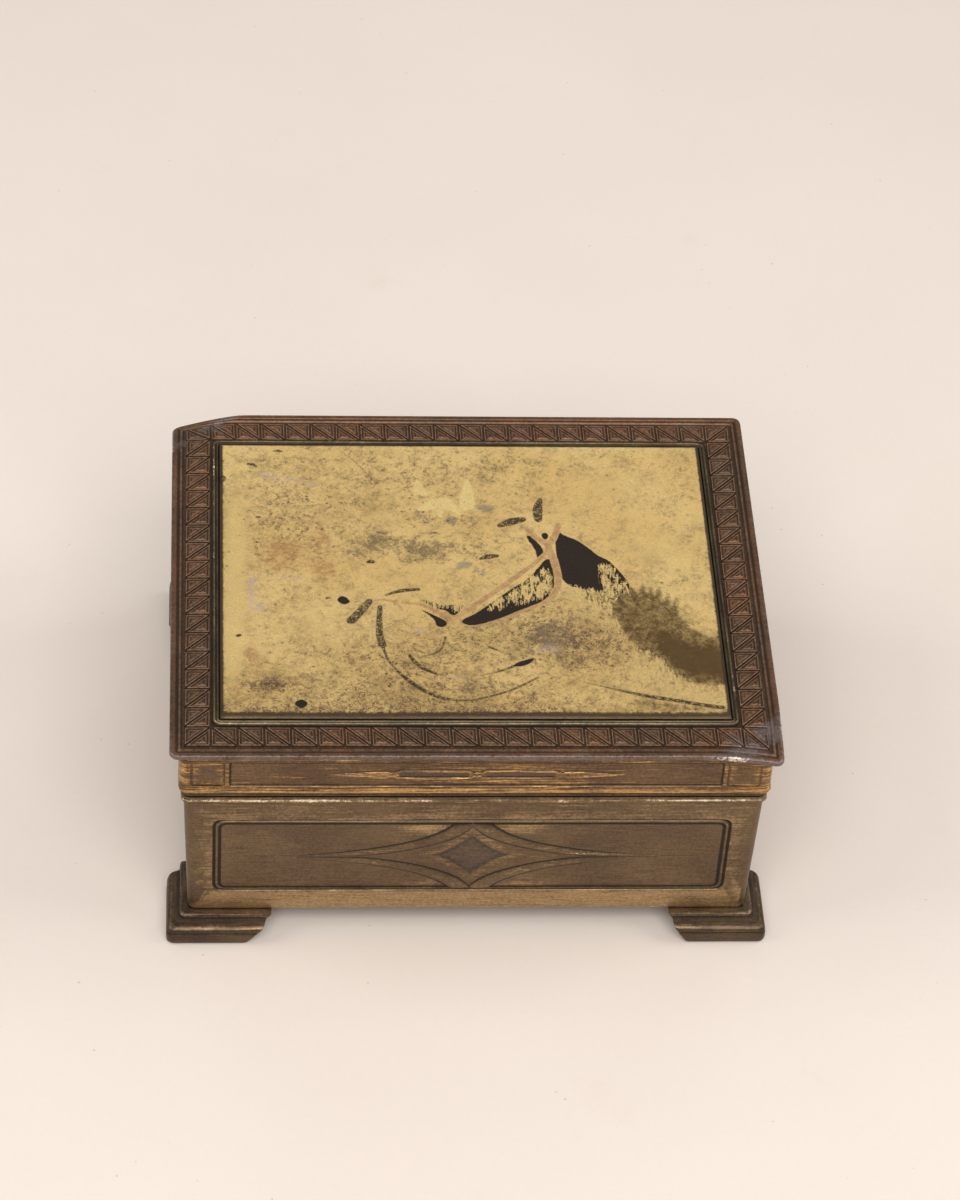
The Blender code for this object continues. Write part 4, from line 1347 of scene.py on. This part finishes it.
def picture_values(points):
    """The picture as one number a point for each layer: the gilding's wear, its painted highlights and its
    darker rolled edges.
    """
    x, y = points[:, 0], points[:, 1]
    nearest = {
        "enamel": [distance_to_shape(points, smooth_path(shape, 5, True)) for shape in ENAMEL_SHAPES],
        "drawn": [distance_to_path(points, smooth_path(line, 6), w) for line, w in DRAWN_LINES],
        "strap": [distance_to_path(points, smooth_path(line, 6), w) for line, w in STRAPS],
        "ghost": [distance_to_shape(points, smooth_path(shape, 5, True)) for shape in GHOST_SHAPES],
        "hatch": [distance_to_shape(points, smooth_path(shape, 4, True)) for shape in HATCHED],
    }
    layers = {name: np.min(fields, axis=0) for name, fields in nearest.items()}
    layers["drawn"] = np.maximum(layers["drawn"], 0.12 - layers["strap"])
    layers["enamel"] = np.maximum(layers["enamel"], 0.12 - layers["strap"])
    layers["hatch"] = np.clip(0.6 - layers["hatch"] / 1.6, 0, 1)

    smoke = np.zeros(len(points))
    for outline, softness, strength in SMOKE_SHAPES:
        away = distance_to_shape(points, np.array(outline))
        smoke = np.maximum(smoke, strength * np.clip(0.5 - away / softness, 0, 1))
    layers["smoke"] = smoke

    bottom = np.clip((-y - 26) / 13, 0, 1) ** 1.6
    loose = ellipse_sum(points, LOOSE_GRIME)
    middle = ellipse_sum(points, FAINT_GRIME)
    grime = 0.18 + 0.6 * bottom * (1 - 0.6 * np.clip((x - 10) / 20, 0, 1)) + loose + middle
    layers["grime"] = np.clip(grime, 0, 1)
    layers["cloud"] = ellipse_sum(points, GREY_CLOUDS)
    layers["bare"] = ellipse_sum(points, BARE_SPOTS)
    layers["blue"] = ellipse_sum(points, BLUE_SPOTS)
    layers["amber"] = ellipse_sum(points, AMBER_SPOTS)
    layers["painted_highlight"] = ellipse_sum(points, PAINTED_HIGHLIGHT_SPOTS)
    edge = np.minimum(PLATE_HALF[0] - np.abs(x), PLATE_HALF[1] - np.abs(y))
    layers["rim"] = np.clip(1.25 - edge / np.where(y < -38, 1.9, 0.8), 0, 1)
    return layers


def picture_plate(finish):
    """Gilt plate with rolled edges, its picture kept on the points of a fine grid."""
    step = 0.36
    half_x, half_y = PLATE_HALF
    columns = round(2 * half_x / step)
    rows_count = round(2 * half_y / step)
    sheet = Sheet()
    rows = []
    for y in evenly(-half_y, half_y, rows_count):
        loop = []
        for x in evenly(-half_x, half_x, columns):
            edge = min(half_x - abs(x), half_y - abs(y))
            roll = max(0.0, 1 - edge / 1.1)
            dish = 0.05 * sin(x * 0.11 + 1) * sin(y * 0.13)
            loop.append((x, y, PLATE_TOP - 0.06 - 0.4 * roll**2.4 + dish * (1 - roll)))
        rows.append(sheet.row(loop))
    sheet.skin_all(rows, closed=False)
    plate = sheet.piece("picture_plate_gilt", finish)
    count = len(plate.data.vertices)
    co = np.empty(count * 3)
    plate.data.vertices.foreach_get("co", co)
    points = co.reshape(-1, 3)[:, :2] / MM
    for name, values in picture_values(points).items():
        store(plate.data, name, values)
    if plate.data.polygons[0].normal.z < 0:
        plate.data.flip_normals()
    return plate


# ---------------------------------------------------------------------------------------------
# Case
# ---------------------------------------------------------------------------------------------

CASE_STATIONS = (evenly(-1, 1, 40), evenly(-1, 1, 32))
PANEL_TOP = 33.2
PANEL_BOTTOM = 11.7
PANEL_SIDE = 51.6

WALL_LOW = CASE_BOTTOM + 0.5
WALL_HIGH = 37.9


def case_shell(finish):
    """Walls with a framed panel each side, a rim bead on top and plain inside faces."""
    sheet = Sheet()
    up_steps = 14

    def full_ring(half, z, corner, relief, rub):
        return sheet.row(ring(half, half - DEPTH_LESS, corner, z, CASE_STATIONS), relief, rub)

    lower = [
        full_ring(WALL_BOTTOM_HALF - 0.35, CASE_BOTTOM, WALL_CORNER, 0.2, 0.1),
        full_ring(WALL_BOTTOM_HALF - 0.05, CASE_BOTTOM + 0.15, WALL_CORNER, 0.9, 0.9),
        full_ring(wall_half(WALL_LOW), WALL_LOW, WALL_CORNER, 0.6, 0.9),
    ]
    sheet.skin_all(lower)
    upper = [
        full_ring(wall_half(WALL_HIGH), WALL_HIGH, WALL_CORNER, 0.5, 0.3),
        full_ring(WALL_TOP_HALF, WALL_TOP, WALL_CORNER, 0.02, 0.0),
        full_ring(RIM_HALF - 0.2, WALL_TOP + 0.25, WALL_CORNER, 0.5, 0.3),
        full_ring(RIM_HALF, WALL_TOP + 0.7, WALL_CORNER, 0.8, 0.5),
        full_ring(RIM_HALF, WALL_TOP + 1.1, WALL_CORNER, 1.12, 0.8),
        full_ring(RIM_HALF - 0.06, RIM_TOP - 0.55, WALL_CORNER, 1.18, 0.8),
        full_ring(RIM_HALF - 0.18, RIM_TOP - 0.25, WALL_CORNER, 0.6, 0.4),
        full_ring(RIM_HALF - 0.32, RIM_TOP - 0.05, WALL_CORNER, 0.25, 0.1),
        full_ring(RIM_HALF - 0.6, RIM_TOP, WALL_CORNER, 0.0, 0.0),
        full_ring(WALL_TOP_HALF - WALL, RIM_TOP, WALL_CORNER / 2, 0.5, 0.4),
        full_ring(WALL_BOTTOM_HALF - WALL, CASE_BOTTOM, WALL_CORNER / 2, 0.4, 0.2),
    ]
    sheet.skin_all(upper)
    sheet.skin(upper[-1], lower[0])

    def post_centre(z):
        half = wall_half(z) - WALL_CORNER
        return half, half - DEPTH_LESS

    corner_posts(sheet, evenly(WALL_LOW, WALL_HIGH, up_steps), post_centre, 0.5, -0.15)

    frame_loops = (
        (0.0, 0.0, 0.0, 1.7, 0.02, 0.5, 0.5),
        (0.22, 0.18, 0.2, 1.7, 0.30, 0.0, 0.0),
        (0.52, 0.36, 0.45, 1.7, 0.34, 0.0, 0.0),
        (0.70, 0.46, 0.62, 1.6, 0.12, 0.6, 0.2),
        (0.88, 0.54, 0.82, 1.6, 0.08, 0.8, 0.35),
        (1.06, 0.60, 1.02, 1.5, 0.12, 0.6, 0.2),
        (1.28, 0.68, 1.26, 1.3, 0.42, 0.0, 0.0),
        (1.70, 0.80, 1.75, 1.1, 0.46, 0.02, 0.0),
        (1.95, 1.00, 2.20, 0.8, 0.40, 0.5, None),
        (2.60, 1.80, 3.00, 0.8, 0.38, 0.5, None),
        (3.80, 3.40, 4.40, 0.8, 0.38, 0.5, None),
        (5.20, 5.20, 6.00, 0.8, 0.38, 0.5, None),
        (7.50, 7.20, 7.80, 0.8, 0.38, 0.5, None),
        (9.00, 9.20, 9.60, 0.4, 0.38, 0.5, None),
    )
    for side in range(4):
        narrow = inset_of(side)
        short = 0 if side % 2 == 0 else DEPTH_LESS
        panel_side = PANEL_SIDE - short
        scale = panel_side / PANEL_SIDE

        def wear(along, z, scale=scale):
            """Gold fans beside the lozenge, and paler streaks running out to its tips."""
            aside = abs(along) / scale
            fan = bell(aside, 9.5, 6.5) * bell(z, 30.6, 3.4)
            low_fan = bell(aside, 11, 6.5) * bell(z, 13.4, 2.0) * 0.75
            inner = bell(aside, 0, 8.5) * bell(z, LOZENGE_Z, 7.5) * 0.7
            tip = bell(aside, 38, 12) * bell(z, LOZENGE_Z, 1.4) * 0.3
            return -0.10 + 0.95 * max(fan, low_fan, inner, tip)

        count = (len(CASE_STATIONS[side % 2]) - 1, up_steps)

        def place(along, z, depth, side=side, narrow=narrow):
            return on_side(side, along, wall_half(z) - narrow - depth, z)

        edge = []
        flat = rounded_loop(-1, 1, WALL_LOW, WALL_HIGH, 0.0, count)
        for share, z in flat:
            reach = wall_half(z) - WALL_CORNER - short
            edge.append(place(share * reach, z, 0.0))
        outer = sheet.row(edge, 0.5, 0.25)
        # Brighter bottom rail: partly wear, partly painted light bounced up from the floor.
        rail_wear_and_bounce_light = [0.95 if z < PANEL_BOTTOM else 0.25 for _, z in flat]
        for point, rub in zip(outer, rail_wear_and_bounce_light):
            sheet.rub[point] = rub
        shoulder = rounded_loop(
            -panel_side - 0.9, panel_side + 0.9, PANEL_BOTTOM - 0.9, PANEL_TOP + 0.9, 2.2, count
        )
        inner = sheet.row([place(s, z, 0.0) for s, z in shoulder], 0.55, 0.45)
        # The shoulder below the panel takes the same wear and painted bounce light.
        for point, (_, z) in zip(inner, shoulder):
            sheet.rub[point] = 0.95 if z < PANEL_BOTTOM else 0.45
        sheet.skin(outer, inner)
        cell = (-panel_side, panel_side, PANEL_BOTTOM, PANEL_TOP)
        sunk_panel(sheet, place, cell, count, frame_loops, wear, inner)
    return sheet.piece("case_shell_cast", finish)


LOZENGE_Z = 21.7
LOZENGE_REACH = 45.0
LOZENGE_SIDE_SCALE = 0.8  # the lozenge is this much shorter on the left and right sides
LOZENGE_CUT = 9.9  # the frame cuts the lozenge's top and bottom at this height


def lozenge_edge(share, square, steep):
    """Half height of a drawn-out lozenge with hollow sides. Share is 0 at its tip and 1 at its middle."""
    return square * share**2 + steep * share**9


def case_ornament(lines, brass):
    """Drawn-out lozenge band on each panel, with a small dark one inside."""
    pieces = []
    for side in range(4):
        scale = 1.0 if side % 2 == 0 else LOZENGE_SIDE_SCALE
        narrow = inset_of(side)

        def place(along, up, proud, side=side, narrow=narrow):
            z = LOZENGE_Z + up
            return on_side(side, along, wall_half(z) - narrow - 0.38 + proud, z)

        def inner_edge(aside):
            return max(0.16, lozenge_edge(max(0.0, 1 - aside / 27.0), 7.0, 2.4))

        paths, radii = [], []
        for up in (-1, 1):
            for direction in (-1, 1):
                path, taper = [], []
                for aside in evenly(0, LOZENGE_REACH, 90):
                    outer = lozenge_edge(1 - aside / LOZENGE_REACH, 7.9, 5.5)
                    outer = min(outer, LOZENGE_CUT)
                    inner = min(inner_edge(aside), outer - 0.1)
                    path.append((direction * aside * scale, up * (outer + inner) / 2))
                    taper.append(max(0.16, (outer - inner) / 2))
                paths.append(path)
                radii.append(taper)
        line = lines.run(
            f"lozenge_{side}",
            curve_data("lozenge", paths, radii),
            Width=2.2 * MM,
            Height=0.42 * MM,
            Finish=brass,
        )
        # Dark feet and rubbed crest: partly painted shade and painted highlight.
        add_wear_and_shade(line, 0.32, 0.62)
        fit_line(line.data, place)
        pieces.append(shaded(line, brass, sharp=60))

        sheet = Sheet()
        rows = []
        for size, proud, relief, rub in (
            (1.62, -0.04, 0.5, 0.15),
            (1.35, 0.02, 0.5, 0.45),
            (1.10, 0.08, 0.6, 0.5),
            (1.03, 0.07, 0.45, 0.1),
            (0.96, 0.0, 0.22, -0.7),
            (0.62, 0.02, 0.38, -0.9),
            (0.0, 0.05, 0.4, -0.5),
        ):
            loop = []
            for aside, up in CORNERS:
                shares = evenly(0, 1, 10)[:-1]
                if aside * up < 0:
                    shares = [1 - share for share in shares]
                for share in shares:
                    height = 5.9 * share**1.6 * size
                    loop.append(place(aside * 8.0 * scale * (1 - share) * size, up * height + 0.6, proud))
            rows.append(sheet.row(loop, relief, rub))
        sheet.skin_all(rows)
        pieces.append(sheet.piece(f"heart_{side}", brass))
    return join("case_lozenges", pieces)


# Foot moulding from the top down: how far out from the wall, height, how proud, how rubbed.
FOOT_PROFILE = (
    (-0.3, 6.05, 0.2, 0.1),
    (0.75, 6.05, 0.45, 0.15),
    (1.3, 5.9, 0.75, 0.5),
    (1.55, 5.6, 0.75, 0.45),
    (1.6, 5.25, 0.5, 0.2),
    (1.62, 4.95, 0.12, 0.0),
    (1.9, 4.75, 0.15, 0.0),
    (2.6, 4.62, 0.4, 0.15),
    (3.3, 4.45, 0.65, 0.45),
    (3.85, 4.15, 0.7, 0.35),
    (4.12, 3.75, 0.55, 0.1),
    (4.18, 3.35, 0.35, 0.0),
    (4.05, 3.2, 0.12, 0.0),
    (4.12, 3.02, 0.15, 0.0),
    (4.25, 2.8, 0.55, 0.15),
    (4.3, 2.3, 0.5, 0.0),
    (4.3, 1.3, 0.45, -0.1),
    (4.22, 0.6, 0.5, 0.05),
    (3.95, 0.2, 0.45, 0.1),
    (3.5, 0.02, 0.3, 0.0),
    (1.5, 0.0, 0.2, 0.0),
    (1.2, 0.2, 0.1, 0.0),
    (1.1, 2.9, 0.0, 0.0),
    (-1.2, 4.4, 0.0, 0.0),
    (-1.4, 5.0, 0.0, 0.0),
)


def foot(name, side_x, side_y, finish):
    """Bracket foot: the moulding run along the front, round the corner and along the side."""
    sheet = Sheet()
    half_x = WALL_BOTTOM_HALF
    half_y = half_x - DEPTH_LESS
    corner = 1.3
    front_wing = 16.9 if side_x < 0 else 15.6

    def wing(z, top, ground):
        """Length of a wing from the wall's corner: its end is cut back towards the ground."""
        share = min(1.0, max(0.0, z / FOOT_TOP))
        return ground + (top - ground) * share**1.15

    path_rows = []
    for kind, value in (
        [("front", share) for share in (1.0, 0.97, 0.66, 0.33)]
        + [("corner", step / 6) for step in range(7)]
        + [("side", share) for share in (0.33, 0.66, 0.97, 1.0)]
    ):
        loop, pinch = [], 1.0 if value < 1.0 or kind == "corner" else 0.96
        for out, z, _, _ in FOOT_PROFILE:
            out = out * pinch if out > 0 else out
            radius = max(0.05, corner * min(1.0, out / 2 + 0.3)) if out > 0 else 0.05
            if kind == "front":
                x = half_x + out - radius - (wing(z, front_wing, 11.7) - radius + out) * value
                loop.append((x, half_y + out, z))
            elif kind == "side":
                y = half_y + out - radius - (wing(z, 13.0, 7.0) - radius + out) * value
                loop.append((half_x + out, y, z))
            else:
                angle = pi / 2 * (1 - value)
                loop.append(
                    (
                        half_x + out - radius + radius * cos(angle),
                        half_y + out - radius + radius * sin(angle),
                        z,
                    )
                )
        path_rows.append([Vector((x * side_x, y * side_y, z)) for x, y, z in loop])
    rows = [sheet.row(points) for points in path_rows]
    for start in rows:
        for i, (_, _, relief, rub) in enumerate(FOOT_PROFILE):
            sheet.relief[start[i]] = relief
            sheet.rub[start[i]] = rub
    sheet.skin_all(rows)
    sheet.cap(rows[0])
    sheet.cap(rows[-1])
    return sheet.piece(name + "_cast", finish)


# ---------------------------------------------------------------------------------------------
# Hinges, liner and inner boards
# ---------------------------------------------------------------------------------------------


def softened(node, finish, width):
    """A copy of a CAD node with its edges eased."""
    bm = bmesh.new()
    bm.from_mesh(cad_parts[node].data)
    bmesh.ops.remove_doubles(bm, verts=bm.verts, dist=0.001 * MM)
    bmesh.ops.dissolve_limit(bm, angle_limit=radians(1), verts=bm.verts, edges=bm.edges)
    folds = [edge for edge in bm.edges if len(edge.link_faces) == 2]
    bmesh.ops.bevel(
        bm,
        geom=[edge for edge in folds if edge.calc_face_angle() > radians(38)],
        offset=width * MM,
        segments=2,
        affect="EDGES",
        profile=0.5,
        clamp_overlap=True,
    )
    mesh = bpy.data.meshes.new(node + "_eased")
    bm.to_mesh(mesh)
    bm.free()
    made = shaded(bpy.data.objects.new(node + "_eased", mesh), finish, sharp=40)
    store_even(mesh, 0.55, 0.25)
    return made


def rivet_tree():
    """Domed rivet heads on points, stood upright and slightly uneven in size."""
    inputs = {"Radius": "Float", "Dome": "Float", "Seed": "Int", "Finish": "Material"}
    tree = GeometryTree("rivet_heads", inputs)
    ball = tree.node(
        "GeometryNodeMeshUVSphere", None, {"Segments": 14, "Rings": 8, "Radius": tree.given("Radius")}
    )
    squash = tree.node(
        "ShaderNodeCombineXYZ", None, {0: 1.0, 1: tree.given("Dome") / tree.given("Radius"), 2: 1.0}
    )
    turn = tree.node("ShaderNodeCombineXYZ", None, {0: pi / 2})
    upright = tree.node("GeometryNodeTransform", None, {"Geometry": ball, "Rotation": turn})
    head = tree.node("GeometryNodeTransform", None, {"Geometry": upright, "Scale": squash})
    uneven = tree.node(
        "FunctionNodeRandomValue", None, {2: 0.94, 3: 1.06, "Seed": tree.given("Seed")}, output=1
    )
    placed = tree.node(
        "GeometryNodeInstanceOnPoints",
        None,
        {"Points": tree.given("Geometry"), "Instance": head, "Scale": uneven},
    )
    tree.close(placed)
    return tree


def rivet_heads(body, tree, finish):
    """Heads and clenched tails of one body's hinge rivets."""
    nodes = [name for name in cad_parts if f"_{body}_rivet_" in name]
    places = []
    for node in sorted(nodes):
        low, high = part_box(node)
        x, z = (low.x + high.x) / 2, (low.z + high.z) / 2
        places += [(x, high.y - 0.5 * MM, z), (x, low.y + 0.2 * MM, z)]
    mesh = bpy.data.meshes.new("rivet_places")
    mesh.from_pydata(places, [], [])
    heads = tree.run(
        f"{body}_rivet_heads", mesh, Radius=1.1 * MM, Dome=0.5 * MM, Seed=3, Finish=finish
    )
    store_even(heads.data, 0.8, 0.6)
    return shaded(heads, finish), nodes


# ---------------------------------------------------------------------------------------------
# Stage
# ---------------------------------------------------------------------------------------------


def floor_board(finish):
    sheet = Sheet()
    reach = 2500
    corners = [(-reach, -reach, 0), (reach, -reach, 0), (reach, reach, 0), (-reach, reach, 0)]
    sheet.cap(sheet.row(corners))
    floor = sheet.piece("floor", finish)
    if floor.data.polygons[0].normal.z < 0:
        floor.data.flip_normals()


def soft_light(name, place, aim, width, height, power, colour):
    data = bpy.data.lights.new(name, "AREA")
    data.shape = "RECTANGLE"
    data.size, data.size_y = width, height
    data.energy = power
    data.color = colour
    light = bpy.data.objects.new(name, data)
    light.location = place
    light.rotation_mode = "QUATERNION"
    light.rotation_quaternion = (Vector(aim) - Vector(place)).to_track_quat("-Z", "Y")
    bpy.context.scene.collection.objects.link(light)


def studio():
    world = bpy.data.worlds.new("studio")
    world.use_nodes = True
    background = world.node_tree.nodes["Background"]
    background.inputs["Color"].default_value = (1.0, 0.965, 0.93, 1)
    background.inputs["Strength"].default_value = 0.235
    bpy.context.scene.world = world
    warm = (1.0, 0.975, 0.95)
    soft_light("left_side", (-1.15, 0.0, 0.9), (0, 0, 0), 0.9, 0.9, 6.8, warm)
    soft_light("right_side", (1.15, 0.0, 0.9), (0, 0, 0), 0.9, 0.9, 6.8, warm)
    soft_light("behind", (0.1, 1.3, 1.05), (0, 0, 0), 1.6, 1.0, 3.6, warm)
    soft_light("front", (0.0, -0.8, 1.0), (0, 0, 0), 1.1, 0.7, 12, warm)


# Camera: where it looks, from how far, and how it is turned.
CAMERA_TARGET = (4.456, 17.915, 30.0)
CAMERA_DISTANCE = 860.48
CAMERA_PITCH = 44.183
CAMERA_YAW = 5.475
CAMERA_ROLL = -3.976
CAMERA_LENS = 123.11


def camera():
    pitch, yaw, roll = radians(CAMERA_PITCH), radians(CAMERA_YAW), radians(CAMERA_ROLL)
    forward = Vector((sin(yaw) * cos(pitch), cos(yaw) * cos(pitch), -sin(pitch)))
    level = Vector((cos(yaw), -sin(yaw), 0))
    down = forward.cross(level)
    right = level * cos(roll) + down * sin(roll)
    lower = down * cos(roll) - level * sin(roll)
    data = bpy.data.cameras.new("camera")
    data.lens = CAMERA_LENS
    data.sensor_width = 36
    data.clip_start, data.clip_end = 0.05, 20
    made = bpy.data.objects.new("camera", data)
    turn = Matrix((right, -lower, -forward)).transposed().to_4x4()
    place = (Vector(CAMERA_TARGET) - forward * CAMERA_DISTANCE) * MM
    made.matrix_world = Matrix.Translation(place) @ turn
    bpy.context.scene.collection.objects.link(made)
    bpy.context.scene.camera = made


# ---------------------------------------------------------------------------------------------
# Assembly
# ---------------------------------------------------------------------------------------------


def fasten(piece, body, slot, *nodes):
    """A piece rides on a body and stands for some CAD nodes. Its slot is not used."""
    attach(piece, body)
    if nodes:
        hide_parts(*nodes)


# Browned brasses: name, dark and plain and golden colour, how strongly brushed.
BRASSES = (
    ("case_brass", (0.135, 0.090, 0.053), (0.175, 0.119, 0.066), (0.38, 0.260, 0.130), 0.6),
    ("skirt_brass", (0.125, 0.078, 0.046), (0.17, 0.105, 0.058), (0.56, 0.325, 0.11), 1.25),
    ("foot_brass", (0.080, 0.055, 0.037), (0.130, 0.090, 0.054), (0.29, 0.195, 0.105), 0.4),
    ("hinge_brass", (0.17, 0.12, 0.06), (0.24, 0.175, 0.09), (0.42, 0.31, 0.16), 0.3),
    ("bezel_brass", (0.085, 0.064, 0.040), (0.125, 0.095, 0.056), (0.30, 0.225, 0.12), 0.3),
)


def build():
    bpy.context.scene.view_settings.view_transform = "Standard"
    camera()
    studio()
    floor_board(floor_finish())

    bronze = bronze_finish()
    brass, amber, dark, dull, olive = (brass_finish(*shades) for shades in BRASSES)
    gilt = gilt_finish()
    grain_x = cedar_finish("cedar_along_x", "x")
    grain_y = cedar_finish("cedar_along_y", "y")
    lines = raised_line_tree()

    fasten(lid_flange(bronze), "lid", "patinated_bronze", "lid_top_plate")
    fasten(lid_tiles(bronze), "lid", "patinated_bronze", "lid_top_plate")
    fasten(plate_bezel(olive), "lid", "patinated_bronze", "plate_bezel")
    fasten(picture_plate(gilt), "lid", "gilt", "picture_plate")
    fasten(lid_skirt(amber), "lid", "case_brass", "lid_skirt")
    fasten(skirt_ornament(lines, amber), "lid", "case_brass", "lid_skirt")

    fasten(case_shell(brass), "case", "case_brass", "case_shell")
    fasten(case_ornament(lines, brass), "case", "case_brass", "case_shell")
    for front, side_y in (("front", -1), ("rear", 1)):
        for left, side_x in (("left", -1), ("right", 1)):
            node = f"foot_{front}_{left}"
            fasten(foot(node, side_x, side_y, dark), "case", "foot_brass", node)
    fasten(softened("bottom_plate", brass, 0.15), "case", "case_brass", "bottom_plate")

    for node in ("liner_floor", "liner_front", "liner_back"):
        fasten(softened(node, grain_x, 0.25), "case", "cedar", node)
    for node in ("liner_left", "liner_right", "liner_divider"):
        fasten(softened(node, grain_y, 0.25), "case", "cedar", node)
    fasten(softened("lid_lining", grain_x, 0.2), "lid", "cedar", "lid_lining")

    for side in ("left", "right"):
        for part, body in (("case_leaf", "case"), ("lid_leaf", "lid"), ("pin", "case")):
            node = f"hinge_{side}_{part}"
            fasten(softened(node, dull, 0.08), body, "hinge_brass", node)
    rivets = rivet_tree()
    for body in ("case", "lid"):
        heads, nodes = rivet_heads(body, rivets, dull)
        fasten(heads, body, "hinge_brass", *nodes)


build()
